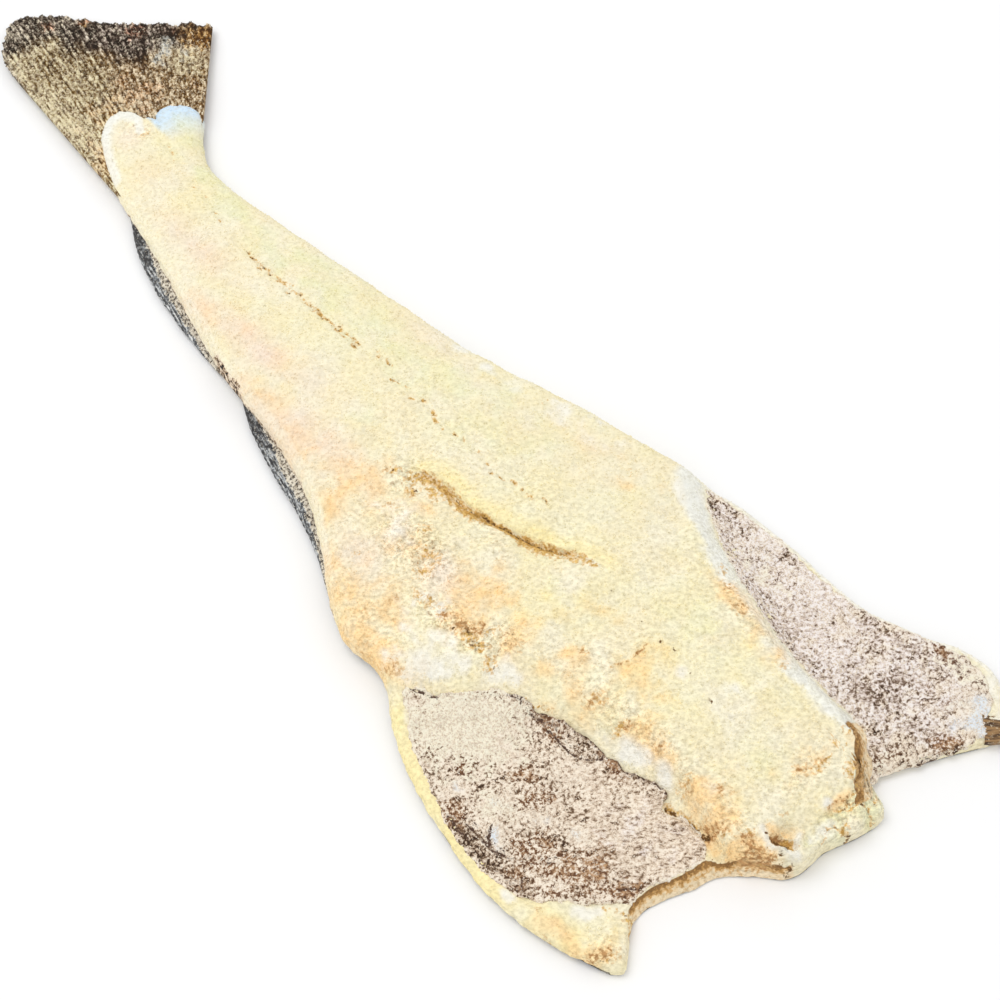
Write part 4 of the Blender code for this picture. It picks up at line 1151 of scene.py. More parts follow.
def flesh_masks(x, y, wall):
    """The masks that tell the flesh's areas apart; wall is 0 on top and rises to 1 down the side."""
    fine, coarse = rough(x, y, 3.2, 61), rough(x, y, 9, 65)
    ochre, core, in_crack, bank = crack_look(x, y, fine)
    cut, side, up = cut_look(x, y, wall, fine)
    hole, hole_edge, flakes, under, crevice = hole_look(x, y, fine)
    left_lobe, right_lobe = lobe_look(x, y, coarse)
    rind, back_rim, left_rim, right_rim = rim_look(x, y, wall, fine, coarse)
    pits = groove_pits(x, y)
    along_groove = [(backbone(at), at) for at in range(28, 116, 6)]
    groove = stroke(x + 0.8 * noise(x, y, 4, 68), y, along_groove, 1.0)
    creases = strokes(x + 0.5 * fine, y, CREASES, 1.0)
    # Besides real staining and dark spots, these masks hold painted shade: the crack's dark core, the gap at
    # the lining's tip, the hole's edge, the block's side and the crevices under the lip.
    stain_and_shade = np.maximum.reduce([
        spots(x, y, STAINS), 1.15 * ochre * in_crack, 0.95 * pits, 0.66 * groove, 0.8 * creases,
        0.9 * stroke(x, y, TIP_GAP, 3.0), 1.15 * hole, 0.6 * crevice,
    ])
    dark = np.maximum.reduce([
        spots(x, y, DARK_SPOTS), 0.75 * core * in_crack, 0.8 * pits**2, 1.1 * stroke(x, y, TIP_GAP, 1.5),
        0.95 * hole_edge, 0.3 * side * ramp(fine, 0, 0.7), 0.45 * crevice**3,
    ])
    off_bands = np.minimum.reduce([from_line(x, y, line) for line in WHITE_BANDS])
    bands = 1 - ramp(off_bands + 3 * coarse, 3.2, 8.5)
    bands = bands * (1 - 0.5 * along(y, (-250, -238, -206, -192)))
    clean = 1 - np.clip(1.2 * flakes * (1 - hole_edge), 0, 1)
    clean = clean * (1 - np.clip(left_lobe, 0, 1)) * (1 - np.clip(1.5 * right_lobe, 0, 1))
    torn = spots(x, y, TORN_AREAS) * clean
    white = broken(spots(x, y, WHITE_AREAS), coarse, 0.2, 0.8)
    lemon = broken(spots(x, y, LEMON_AREAS), coarse, 0, 1)
    smooth, even = spots(x, y, SMOOTH_AREAS), ramp(x, 15, 40) * along(y, (-170, -140, 40, 70))
    # How strongly the grain's painted shade and highlight show: more where the flesh is torn and under the
    # lip of the neck.
    relief = 0.27 + 0.2 * ramp(30 - y, 0, 110) * (1 - smooth) * (1 - 0.7 * even) + 0.7 * torn + 0.3 * under
    blue = right_lobe + 0.14 * left_lobe * ramp(y, 218, 238) * ramp(x, -22, -10) + 0.14 * bands
    # The rim of the back and the crack's bank are lightened as painted highlight.
    return {
        "peach": broken(spots(x, y, PEACH_AREAS), coarse, 0.0, 1.0),
        "lemon": np.maximum.reduce([lemon, left_rim, 0.6 * back_rim, 0.8 * bank]),
        "pink": spots(x, y, PINK_AREAS),
        "green": broken(spots(x, y, GREEN_AREAS), coarse, 0.0, 1.0),
        "torn": torn,
        "white": np.maximum.reduce(
            [white, 0.45 * back_rim, right_rim, left_lobe, 0.9 * bands, 0.9 * flakes]
        ),
        "blue": np.clip(blue, 0, 1),
        "cut": np.clip(np.maximum(cut, 0.9 * side) * clean, 0, 1),
        "up": up,
        "rind": rind,
        "relief": np.clip(relief * (1 - 0.45 * white), 0, 1),
        "stain_and_shade": stain_and_shade * clean,
        "dark": dark * clean,
    }


def wall_rings(ring, foot):
    """Rings of points down the side of the body, each with its share of the way down."""
    out = outward(ring[:, :2])
    for share in WALL_SHARES:
        z = blend(ring[:, 2], foot, share)
        lumps = 0.45 * rough(ring[:, 0] + z, ring[:, 1], 4, 71) * (share < 1)
        bulge = 0.5 * math.sin(math.pi * share) + lumps
        yield share, np.column_stack([ring[:, :2] + out * bulge[:, None], z])


def flesh():
    """The fillets and flaps as one closed body with a grainy top.

    It gives the top's grid of points, the salt on it, its masks and its material.
    """
    x, y, neck_y, tail_y = body_grid()
    to_side = np.minimum(x - left_edge(y), right_edge(y) - x)
    near_edge = np.minimum(np.minimum(to_side, tail_y - y), y - neck_y)
    in_lining = lining(x, y, right_of(left_shoulder, x, y), right_of(right_shoulder, x, y))
    relief = flesh_relief(x, y, in_lining, near_edge) + neck_relief(x, y, near_edge)
    relief = relief - 1.1 * groove_pits(x, y)
    grid = np.dstack([x, y, np.maximum(body_top(x, y) + relief, 1.0)])
    top_masks = flesh_masks(x, y, 0 * x)

    rows, columns = x.shape
    above = border(rows, columns)
    ring = grid.reshape(-1, 3)[above]
    foot = flesh_height(x, y).ravel()[above] * SIDE_WALL_BOTTOM + 0.6
    foot = np.where((y - neck_y).ravel()[above] <= 0, 0.4, foot)
    foot = np.minimum(foot, ring[:, 2] - 0.1)
    points, faces, count = [grid.reshape(-1, 3)], grid_faces(rows, columns), rows * columns
    masks = {name: [value.ravel()] for name, value in top_masks.items()}
    for share, wall in wall_rings(ring, foot):
        points.append(wall)
        for name, value in flesh_masks(wall[:, 0], wall[:, 1], share + 0 * wall[:, 2]).items():
            masks[name].append(value)
        below = np.arange(count, count + len(wall))
        faces += ring_faces(above.tolist(), below.tolist())
        above, count = below, count + len(wall)
    faces.append(above[::-1].tolist())
    masks = {name: np.concatenate(parts) for name, parts in masks.items()}
    material = flesh_material()
    piece = make_piece("cod_flesh", np.concatenate(points), faces, material, **masks)
    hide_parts("salt_cod")

    smooth_rim = (1 - ramp(x - left_edge(y), 5, 9)) * (1 - ramp(y, -160, -130))
    bare = np.maximum.reduce([
        np.clip(in_lining, 0, 1), smooth_rim,
        0.8 * (top_masks["dark"] > 0.3), 1.0 * (top_masks["cut"] > 0.2),
    ])
    return grid, 1 - 0.97 * bare, top_masks, material


# Skin.

SKIN_ROW_STEP, SKIN_COLUMN_STEP = 3, 2  # which rows and columns of the flesh's grid the skin keeps
LATERAL_LINE, LATERAL_LINE_WIDTH = 0.55, 1.6  # its place as a share of the half width
BACK_FINS = [(-235, -165, 15), (-120, -20, 17), (20, 120, 14)]  # y from, y to and width of each
SKIN_LOWEST = 0.02


def pressed_fins(y, off_middle):
    """1 where a back fin lies flat under the fish, and 0 elsewhere."""
    fin = np.zeros(y.shape)
    for start, end, width in BACK_FINS:
        lies = along(y, (start, start + 8, end - 25, end)) * (1 - ramp(off_middle, width - 5, width))
        fin = np.maximum(fin, lies)
    return fin


def skin():
    """The skin under the fish, with the back fins pressed flat against it."""
    x, y, _, _ = body_grid()
    keep_rows = sorted({*range(0, ROWS + 1, SKIN_ROW_STEP), ROWS})
    keep_columns = sorted({*range(0, x.shape[1], SKIN_COLUMN_STEP), x.shape[1] - 1})
    x, y = x[np.ix_(keep_rows, keep_columns)], y[np.ix_(keep_rows, keep_columns)]
    to_side = np.minimum(np.minimum(x - left_edge(y), right_edge(y) - x), y[-1] - y)
    middle = (left_edge(y) + right_edge(y)) / 2
    half_width = (right_edge(y) - left_edge(y)) / 2
    off_middle = np.abs(x - middle)
    fin = pressed_fins(y, off_middle)
    ribs = 0.5 + 0.5 * np.sin((y + 0.6 * off_middle) * 2 * math.pi / 4.2)
    off_neck = ramp(y - y[0], 1, 12)
    side_lift = flesh_height(x, y) * SIDE_WALL_BOTTOM * (1 - rounded(to_side, BOTTOM_ROUNDING)) * off_neck
    z = side_lift + 0.25 + (0.7 + 0.3 * rough(x, y, 14, 81)) * off_neck
    z = np.maximum(z - fin * (0.45 + 0.35 * ribs), SKIN_LOWEST)
    lower = np.dstack([x, y, z])

    rows, columns = x.shape
    loop = border(rows, columns)
    lip = lower.reshape(-1, 3)[loop].copy()
    lip[:, :2] += outward(lip[:, :2]) * 0.2
    lip[:, 2] += 0.15 + 0.5 * off_neck.reshape(-1)[loop]
    points = np.concatenate([lower.reshape(-1, 3), lip])
    rim = np.arange(rows * columns, rows * columns + len(loop))
    faces = grid_faces(rows, columns, flip=True) + ring_faces(rim.tolist(), loop.tolist()) + [rim.tolist()]
    off_line = (np.abs((x - middle) / half_width) - LATERAL_LINE) * half_width / LATERAL_LINE_WIDTH
    line = np.exp(-(off_line**2)) * ramp(y, -250, -230)
    masks = {"pale": 1 - ramp(to_side, 4, 26), "line": line, "fin": fin}
    masks = {name: np.concatenate([value.ravel(), value.ravel()[loop]]) for name, value in masks.items()}
    make_piece("cod_skin", points, faces, skin_material(), **masks)


# Belly linings.


def along_line(points, count):
    """Points evenly spaced along a line through (x, y) points."""
    points = np.array(points, float)
    run = np.concatenate([[0], np.cumsum(np.hypot(*np.diff(points, axis=0).T))])
    at = np.linspace(0, run[-1], count + 1)
    return np.stack([np.interp(at, run, points[:, k]) for k in (0, 1)], -1)


def patch_between(outline, rows, columns):
    """A grid of (x, y) whose four borders follow the lines of an outline."""
    left, right = (along_line(outline[side], rows)[:, None] for side in ("left", "right"))
    near, far = (along_line(outline[side], columns)[None] for side in ("near", "far"))
    u = np.linspace(0, 1, columns + 1)[None, :, None]
    v = np.linspace(0, 1, rows + 1)[:, None, None]
    near_corners = (1 - u) * near[:, :1] + u * near[:, -1:]
    far_corners = (1 - u) * far[:, :1] + u * far[:, -1:]
    corners = (1 - v) * near_corners + v * far_corners
    return (1 - u) * left + u * right + (1 - v) * near + v * far - corners


def fold_lines(x, y, folds):
    """Folds of a lining, each with a fainter one beside it; their dark is partly the bare membrane and partly
    painted shade in the crease.
    """
    fold = np.zeros(x.shape)
    wander = 0.8 * noise(x, y, 5, 95)
    for line in folds:
        fold = np.maximum(fold, stroke(x + wander, y - wander, line, 0.9))
        fold = np.maximum(fold, 0.5 * stroke(x + wander - 2.5, y - wander - 1, line, 0.8))
    return fold * (0.72 + 0.5 * rough(x, y, 6, 96))


def lining_masks(x, y, lifted, to_right, rounding, fold, thick, thin, tints):
    """The masks of a lining: its tints, its crust of salt, its folds and its pale lip. The fold mask also
    darkens the lifted right edge as painted shade.
    """
    uneven = rough(x, y, 5, 103)
    # The lifted right edge, painted dark as the shade at it, partly also the membrane's dark underside.
    rim = lifted * (1 - ramp(to_right + 1.2 * uneven, 0.2, 3.2)) * (0.6 + 0.4 * uneven)
    lip = (1 - ramp(rounding + 0.7 * uneven, 0.8, 2.4)) * (1 - lifted)
    grain = rough(x, y, 5, 102)
    masks = {tint: broken(spots(x, y, places), grain, 0.1, 0.9) for tint, places in tints.items()}
    drift = 0.13 * rough(x, y, 5, 101) * (1 - 0.5 * masks["lilac"])
    crust = 0.77 + 0.3 * thick - 0.36 * thin + drift - 0.06 * masks["lilac"] + 0.12 * lip
    masks["crust"] = np.clip(crust, 0, 1.15)
    masks["fold"] = np.maximum(fold, rim * ramp(-y, 158, 170))
    masks["cream"] = np.maximum(masks["cream"], 0.4 * lip)
    return masks


def lining_sheet(name, outline, size, lift, edge_lift, crust, bare, folds, **tints):
    """A thin crumpled sheet on a flap, whose right edge is lifted along edge_lift.

    It gives the sheet's upper points and the share of salt on them.
    """
    rows, columns = size
    flat = patch_between(outline, rows, columns)
    u = np.linspace(0, 1, columns + 1)[None]
    v = np.linspace(0, 1, rows + 1)[:, None]
    x, y = flat[..., 0], flat[..., 1]
    at_border = np.minimum(np.minimum(u, 1 - u) * 8, 1) * np.minimum(np.minimum(v, 1 - v) * 12, 1)
    x = x + (1 - at_border) * 1.1 * rough(x, y, 4, 91)
    y = y + (1 - at_border) * 1.1 * rough(x, y, 4, 92)
    width = np.hypot(*(flat[:, -1] - flat[:, 0]).T)[:, None]
    to_right, to_left = (1 - u) * width, u * width
    rounding = np.minimum(np.minimum(to_left, to_right), np.minimum(v, 1 - v) * 150)
    lifted = along(y, edge_lift)
    fold = fold_lines(x, y, folds)
    thick, thin = spots(x, y, crust), spots(x, y, bare)
    edge = lifted * (1 - ramp(to_right, 1.2, 4.5)) * (0.7 + 0.3 * noise(x, y, 7, 94))
    crumple = 0.42 * rough(x, y, 7, 97) + 0.3 * rough(x, y, 2.6, 98, octaves=2)
    flakes = 0.5 * ramp(thick + 0.3 * rough(x, y, 5, 99), 0.45, 0.6)
    base = body_top(x, y) + lift
    upper = base + crumple + flakes + 1.7 * edge - 0.7 * fold
    upper = upper - 0.8 * (1 - ramp(rounding, 0, 1.4)) * (1 - edge)
    points, faces = shell(np.dstack([x, y, base - 1.4]), np.dstack([x, y, upper]))
    masks = lining_masks(x, y, lifted, to_right, rounding, fold, thick, thin, tints)
    make_piece(name, points, faces, lining_material(), **both_sides(masks))
    return np.dstack([x, y, upper]), masks["crust"] * (1 - np.clip(masks["fold"], 0, 1))


LEFT_SIZE, RIGHT_SIZE = (190, 96), (220, 64)  # rows and columns
LEFT_LIFTED, NOT_LIFTED = (-264, -258, -176, -164), (900, 901, 902, 903)  # the latter is beyond the fish
# Parts of the linings. A turn of -40 puts the first radius along the width of the photo.
LEFT_CRUST = [
    (-86, -170, 24, 18, -40, 1.7), (-98, -158, 13, 12, -40, 1.3), (-111, -193, 5, 5, -40, 1.5),
    (-108, -205.5, 8, 6, -40, 1.3), (-100, -210.5, 8, 6, -40, 1.2), (-95.3, -221.7, 5, 4, -40, 1.0),
    (-82.8, -246, 5, 4, -40, 1.5), (-91.5, -229.5, 8, 3, -40, 1.2),
    (-101, -248.4, 2.5, 1.6, -40, 1.3), (-105.8, -259.8, 4, 2, -40, 1.0),
    (-113, -222, 3.4, 6.5, -35, 1.7), (-84, -190, 10, 8, -40, 1.0), (-73, -180, 10, 6, -40, 0.7),
    (-60, -160, 14, 6, -40, 0.8), (-64, -224, 11, 9, -40, 0.3), (-95, -186, 5, 4, -40, 0.7),
    (-50, -254, 7, 7, -40, 0.4),
]
LEFT_BARE = [
    (-106, -158.5, 5, 4, -40, 0.4), (-110.6, -168.4, 5, 3.5, -40, 0.64),
    (-102, -171, 5, 3.5, -40, 0.56), (-103, -186.6, 8, 5, -40, 0.8),
    (-103.5, -197, 5, 3.5, -40, 0.68), (-117, -200, 10, 8, -40, 1.04), (-123, -193, 5, 8, 0, 0.64),
    (-124.5, -207, 5.5, 9, 0, 1.12), (-125, -219, 5, 9, 0, 1.12), (-121.5, -230, 5, 8, 0, 1.12),
    (-118.5, -241, 6, 8, 0, 1.12), (-118, -250, 6, 6, 0, 1.04), (-79, -191, 5, 4, -40, 0.56),
    (-84, -206, 8, 5, -40, 0.96), (-70.7, -210, 3.5, 2.5, -40, 0.8),
    (-88.5, -218.5, 11, 7, -40, 0.88), (-65, -196, 5, 5, -40, 0.64), (-100, -238, 15, 7, -40, 0.8),
    (-97, -254.6, 14, 8, -40, 0.88), (-101, -268, 10, 5, -40, 0.96),
    (-87, -279.5, 11, 4.5, -40, 0.96), (-79.5, -284, 4, 3, -40, 0.88),
    (-78.3, -237, 5, 5, -40, 0.72), (-86, -233, 4, 3, -40, 0.72), (-109, -246, 6, 6, -40, 0.72),
    (-57, -191, 4, 14, -20, 0.88), (-50.5, -209, 4, 10, -20, 0.64),
    (-45.5, -228, 4.5, 11, -20, 0.96), (-42, -246, 4, 8, -20, 0.8), (-70, -165, 9, 3, -40, 0.56),
    (-112, -262, 6, 6, -40, 0.72), (-84, -262, 9, 6, -40, 0.72), (-92, -266, 14, 7, -40, 0.8),
]
LEFT_WARM = [
    (-87, -280, 12, 6, -40, 1.0), (-88.5, -218.5, 10, 7, -40, 1.0), (-57, -192, 6, 18, -20, 1.0),
    (-97, -257, 22, 14, -40, 1.0), (-117, -200, 9, 8, 0, 1.0), (-84, -206, 8, 5, -40, 0.9),
    (-103, -186.6, 8, 5, -40, 0.8), (-101, -238, 14, 8, -40, 0.8), (-46, -228, 5, 14, -20, 0.7),
    (-119, -244, 6, 8, 0, 0.5),
]
LEFT_BLUE = [
    (-113.5, -222.5, 3, 5, -35, 0.9), (-82.8, -246, 4, 3, -40, 0.8), (-111, -193, 4, 4, -40, 0.7),
    (-100, -210, 5, 4, -40, 0.4), (-91, -229, 5, 2, -40, 0.5),
]
LEFT_COOL = [(-59, -271, 30, 26, -40, 0.25)]
LEFT_LILAC = [(-59, -271, 30, 26, -40, 1.1), (-66, -236, 16, 16, -40, 0.6)]
LEFT_CREAM = [
    (-90, -166, 30, 24, -40, 1.3), (-103, -209, 12, 11, -40, 0.7), (-82, -187, 14, 12, -40, 0.6),
    (-60, -160, 14, 6, -40, 1.0),
]
LEFT_FOLDS = [  # dark folds, as points (x, y)
    [(-120.3, -208), (-119.8, -214.7), (-119.4, -220), (-119.1, -224.5), (-118, -228.7),
     (-115.4, -233.6), (-112.4, -237.9), (-109.4, -241.3), (-106.5, -245.5), (-101, -249)],
    [(-111.2, -216.5), (-114.6, -218.1), (-117.1, -220.6), (-118, -224)],
    [(-124.2, -200), (-125.2, -208), (-125, -214), (-125.4, -221), (-126, -227), (-125.5, -233),
     (-122.5, -236.7), (-123, -243), (-122, -250)],
    [(-117.1, -245.5), (-119.7, -247.8), (-120.5, -251.1)],
    [(-69.1, -166.9), (-62.8, -173.5), (-62.3, -177.8), (-61.4, -183.7), (-58.8, -191.1),
     (-55.2, -198)],
    [(-63.5, -170.6), (-60.7, -180), (-59.1, -190.7), (-59.3, -201), (-59, -210.6), (-56.9, -218.1),
     (-48.2, -225.4)],
    [(-97.5, -139), (-93.5, -144.5), (-92.2, -147.9), (-89.6, -150.4)],
    [(-86, -279), (-82, -281.5), (-78.5, -284.5)],
]
RIGHT_CRUST = [
    (92, -227, 15, 17, -40, 0.75), (100, -294, 14, 18, -40, 0.2), (104, -311, 18, 14, -40, 0.45),
    (84, -272, 8, 7, -40, 0.6), (101, -328, 9, 7, -40, 1.0), (93, -185, 13, 15, -40, 0.55),
    (78, -255, 10, 12, -40, 0.4), (80, -205, 8, 16, 0, 0.5), (92, -245, 14, 14, -40, 0.5),
]
RIGHT_BARE = [
    (85.5, -152.5, 2.2, 7, -5, 0.8), (90, -158, 6, 2.5, -40, 0.7), (93, -167, 6, 3, -40, 0.35),
    (88, -175, 7, 6, -40, 0.25), (91, -200, 13, 10, -40, 0.15), (95, -259, 14, 10, -40, 0.3),
    (80, -284, 14, 12, -40, 0.8), (84, -326, 9, 5, -40, 1.3), (61, -236, 4, 20, 0, 0.3),
    (61, -287, 5, 12, 0, 0.4), (104, -258, 3, 12, 8, 0.7), (117, -287, 4, 7, 0, 0.9),
    (54, -306, 6, 5, 0, 0.5), (100, -178, 3, 8, 8, 0.5), (96, -302, 12, 8, -40, 0.5),
    (108, -281, 8, 6, -40, 0.6), (76, -308, 12, 6, -40, 0.4),
]
RIGHT_WARM = [
    (84, -325, 9, 6, -40, 1.0), (60, -312, 14, 6, -20, 0.6), (104, -306, 14, 14, 0, 0.35),
    (117, -288, 5, 8, 0, 1.0),
]
RIGHT_LILAC = [(90, -250, 40, 80, 0, 0.42)]
RIGHT_COOL = [(84, -215, 60, 80, 0, 1.0), (66, -262, 24, 36, -10, 1.2), (92, -290, 44, 34, 0, 1.0)]
RIGHT_BLUE = [(104, -328, 11, 5, -30, 1.2), (111, -322, 4, 7, 0, 1.0)]
RIGHT_CREAM = [
    (118, -304, 6, 22, 10, 0.7), (60, -314, 14, 5, -20, 0.6), (106, -318, 14, 6, -20, 0.4),
    (84, -200, 14, 26, 0, 0.35),
]
RIGHT_FOLDS = [
    [(87.5, -147), (85.4, -152), (84.3, -158)],
    [(86, -331), (91, -333), (99, -334)],
    [(66, -322), (74, -325.5), (82, -329)],
]


# Fins.

FIN_FINE_RAYS, FIN_STEPS, FIN_ROWS = 30, 6, 70
FIN_FRAY, FIN_NOTCH, FIN_LONGEST = 2.4, 0.8, 0.9
FIN_WIDTH, FIN_LENGTH = 118, 125
# Parts of the tail fin as (x, y, radius x, radius y, turn, strength).
FIN_RED = [
    (9, 325, 5, 5, 0, 0.6), (28, 317.5, 4, 5, 0, 0.6), (46, 291, 8, 8, -45, 0.9),
    (62, 281, 4, 6, 0, 0.6),
]
FIN_GOLD = [(72, 262, 13, 10, -30, 1.3), (28, 317, 4, 4, 0, 0.6), (8, 326, 4, 4, 0, 0.4)]
FIN_GREY = [(52, 268, 9, 4.5, 50, 1.2), (44, 263, 5, 5, 45, 0.9), (55, 258, 5, 4, 45, 0.6)]
FIN_PALE = [
    (57, 255, 9, 8, 0, 0.34), (-24, 262, 8, 54, 8, 0.26), (-23, 306, 7, 16, 0, 0.22),
    (-8, 228, 26, 22, 0, 0.16), (-13, 333, 8, 6, 0, 0.16), (14, 244, 10, 8, 0, 0.06),
    (1, 300, 4, 30, -10, 0.05), (50, 268, 10, 6, 50, 0.3), (66, 268, 8, 6, 0, 0.1),
]
FIN_DARK = [
    (30, 266, 16, 16, -20, 0.06), (20, 296, 14, 14, -30, 0.06), (44, 238, 14, 12, 0, 0.1),
    (62, 244, 8, 16, 0, 0.1), (60, 274, 3, 7, 45, 0.45), (36, 268, 3, 9, 0, 0.25),
    (74, 262, 8, 10, 0, 0.1),
]
FIN_RUST = [
    (8, 250, 26, 12, 0, 0.9), (-18, 222, 10, 20, 0, 0.9), (20, 262, 12, 10, 0, 0.5),
    (50, 240, 14, 10, 0, 0.3),
]
# Depth of the dark band along the trailing edge, as (share of the width, share of the length).
FIN_BAND = [
    (0, 0.02), (0.08, 0.07), (0.2, 0.12), (0.3, 0.14), (0.42, 0.25), (0.68, 0.28), (0.8, 0.2), (1, 0.2),
]


def fin_fan():
    """The tail fin's grid of (x, y), with where each point lies across it, along it and on its ray."""
    shares = np.linspace(0, 1, FIN_FINE_RAYS * FIN_STEPS + 1)
    on_ray = 0.5 - 0.5 * np.cos(2 * math.pi * shares * FIN_FINE_RAYS)
    root_x, margin_x = (blend(line[0][0], line[-1][0], shares) for line in (FIN_ROOT, FIN_MARGIN))
    root = np.stack([root_x, smooth_line(FIN_ROOT)(root_x)], -1)
    margin = np.stack([margin_x, smooth_line(FIN_MARGIN)(margin_x)], -1)
    ray = margin - root
    ray_number = np.floor(shares * FIN_FINE_RAYS - 1e-6)
    tips = lattice(ray_number, 0, 7) - 0.7
    longer = FIN_FRAY * tips * np.minimum(1, 2 * on_ray + 0.3) - FIN_NOTCH * (1 - on_ray)
    longer = longer + 1.3 * noise(shares * 100, 0, 6, 105) + 0.5 * noise(shares * 100, 0, 1.1, 106)
    margin = margin + ray / np.hypot(*ray.T)[:, None] * np.minimum(longer, FIN_LONGEST)[:, None]
    out = np.linspace(0, 1, FIN_ROWS + 1)[:, None]
    return blend(root, margin, out[..., None]), shares, out, on_ray


def fin_masks(x, y, shares, out, on_ray, deep):
    """The masks of the tail fin: its rays, its crust of salt and the colours of its parts."""
    band = np.interp(shares, *np.array(FIN_BAND).T)
    tip = ramp(out + 0.06 * rough(x, y, 9, 109), 1 - band - 0.1, 1 - band + 0.06)
    left = 1 - ramp(shares, 0.4, 0.58)
    along_ray = 0.5 + 0.5 * noise(shares * 60, out * 2.4, 1.0, 115)
    crust = 0.50 + spots(x, y, FIN_PALE) - spots(x, y, FIN_DARK)
    crust = crust + (0.05 + 0.32 * left * along_ray) * (on_ray - 0.45) * deep
    crust = crust - 0.14 * tip - 0.08 * spot(x, y, (70, 268), (14, 12))
    masks = {
        "ray": shares * FIN_WIDTH,
        "out": out * FIN_LENGTH,
        "tip": tip * (1 - 0.6 * spots(x, y, FIN_GOLD)),
        "olive": np.maximum(left * (1 - 0.6 * tip), spot(x, y, (54, 250), (12, 14))),
        "rust": broken(spots(x, y, FIN_RUST), rough(x, y, 5, 114), 0.2, 0.9),
        "gold": broken(spots(x, y, FIN_GOLD), rough(x, y, 3, 110)),
        "red": broken(spots(x, y, FIN_RED), rough(x, y, 3, 113)),
        "grey": broken(spots(x, y, FIN_GREY), rough(x, y, 3, 116), 0.3, 0.9),
        "furrow": (1 - on_ray) ** 3 * (0.1 + 0.6 * ramp(out, 0.5, 0.95)) * (0.5 + 0.5 * noise(x, y, 6, 111)),
        "crust": np.clip(crust + 0.06 * rough(x, y, 7, 112), 0, 1),
    }
    return {key: value + 0 * x for key, value in masks.items()}


def tail_fin():
    """The fanned tail fin, with fine rays that end in a frayed edge.

    It gives the fin's upper points, the salt on them, their masks and the material.
    """
    flat, shares, out, on_ray = fin_fan()
    x, y = flat[..., 0], flat[..., 1]
    middle = blend(*FIN_Z, out) + FIN_WAVE_HEIGHT * np.sin(2 * math.pi * FIN_WAVES * shares) * out
    half = blend(*FIN_THICKNESS, out) / 2
    deep = ramp(out, 0.1, 0.5)
    ridge = 0.9 * (on_ray - 0.5) * deep
    bumps = 0.25 * rough(x, y, 4, 107) + 0.4 * (packed_grains(x, y, 2.1, 108) - 0.4)
    thin = 1 - 0.75 * ramp(out, 0.985, 1.0)
    upper = np.dstack([x, y, middle + (half + ridge) * thin + bumps * thin])
    lower = np.dstack([x, y, middle - (half + 0.6 * ridge - 0.2) * thin])
    points, faces = shell(lower, upper)
    masks, material = fin_masks(x, y, shares, out, on_ray, deep), fin_material()
    make_piece("tail_fin", points, faces, material, **both_sides(masks))
    grains = ramp(masks["crust"], 0.2, 0.75) * (0.3 + 0.7 * on_ray) * ramp(y - tail_line(x), 1, 4)
    return upper, grains, masks, material


ANAL_FIN_RIBS, ANAL_FIN_STEPS, ANAL_FIN_ACROSS = 30, 6, 26


def anal_fin(name, profile, seed):
    """A low ribbed fin from under the left edge; it gives its upper points and their salt."""
    steps = ANAL_FIN_RIBS * ANAL_FIN_STEPS + 1
    (start, _), (end, _) = profile[0], profile[-1]
    y = np.linspace(start, end, steps)[:, None]
    out = np.linspace(0, 1, ANAL_FIN_ACROSS + 1)
    on_rib = 0.5 - 0.5 * np.cos(2 * math.pi * np.linspace(0, ANAL_FIN_RIBS, steps))[:, None]
    frayed = 0.95 + 0.05 * on_rib + 0.05 * noise(y, 0, 7, seed)
    beyond = np.maximum(smooth_line(profile)(y), 0) * frayed
    x = left_edge(y) + ANAL_FIN_INSIDE - (ANAL_FIN_INSIDE + beyond) * out
    middle, half = blend(*ANAL_FIN_Z, out) + 0 * y, blend(*ANAL_FIN_THICKNESS, out) / 2
    y, beyond = y + 0 * out, beyond + 0 * out
    past = (left_edge(y) - x) / np.maximum(beyond, 1)
    fine = rough(x, y, 3.5, seed + 1)
    ridge = 0.25 * np.sin(2 * math.pi * (2.2 * out * 3 + 0.05 * y)) * ramp(out, 0.5, 0.7) + 0.3 * fine
    thin = 1 - 0.6 * ramp(out, 0.94, 1.0)
    upper = np.dstack([x, y, middle + (half + ridge) * thin])
    lower = np.dstack([x, y, middle - half * thin])
    points, faces = shell(lower, upper)
    share = (y - start) / (end - start)
    shorter, longer = 0.5 * ramp(share, 0.55, 0.9), 0.5 * ramp(-share, -0.3, -0.05)
    root = 1 - ramp(past + 0.12 * fine + shorter - longer, 0.3, 0.7)
    black = np.maximum(ramp(share + 0.1 * fine, 0.68, 0.8), ramp(past + 0.1 * fine, 0.9, 1.05) * 0.7)
    masks = {"ray": y, "out": past * beyond, "root": root, "black": black}
    make_piece(name, points, faces, anal_fin_material(), **both_sides(masks))
    return upper, ramp(past, 0.05, 0.2) * (0.08 + 0.92 * root)


def pectoral_stub():
    """The trimmed pectoral fin at the corner of the right flap."""
    root, tip = np.array(PECTORAL_ROOT, float), np.array(PECTORAL_TIP, float)
    away = (tip - root) / np.hypot(*(tip - root))
    sideways = np.array([-away[1], away[0]])
    across, out = np.meshgrid(np.linspace(-0.5, 0.5, 41), np.linspace(0, 1, 31))
    width = blend(*PECTORAL_WIDTH, out)
    flat = blend(root, tip, out[..., None]) + sideways * (across * width)[..., None]
    half = blend(*PECTORAL_THICKNESS, out) / 2
    half = half * (1 - 1.6 * across**2) + 0.25 * np.cos(across * 2 * math.pi * PECTORAL_RAYS)
    bumps = 0.25 * rough(flat[..., 0], flat[..., 1], 3, 121)
    upper = np.dstack([flat, PECTORAL_Z + half + bumps])
    lower = np.dstack([flat, PECTORAL_Z - half])
    points, faces = shell(lower, upper)
    masks = {"ray": across * width, "out": PECTORAL_LENGTH * out}
    make_piece("pectoral_stub", points, faces, pectoral_material(), **both_sides(masks))


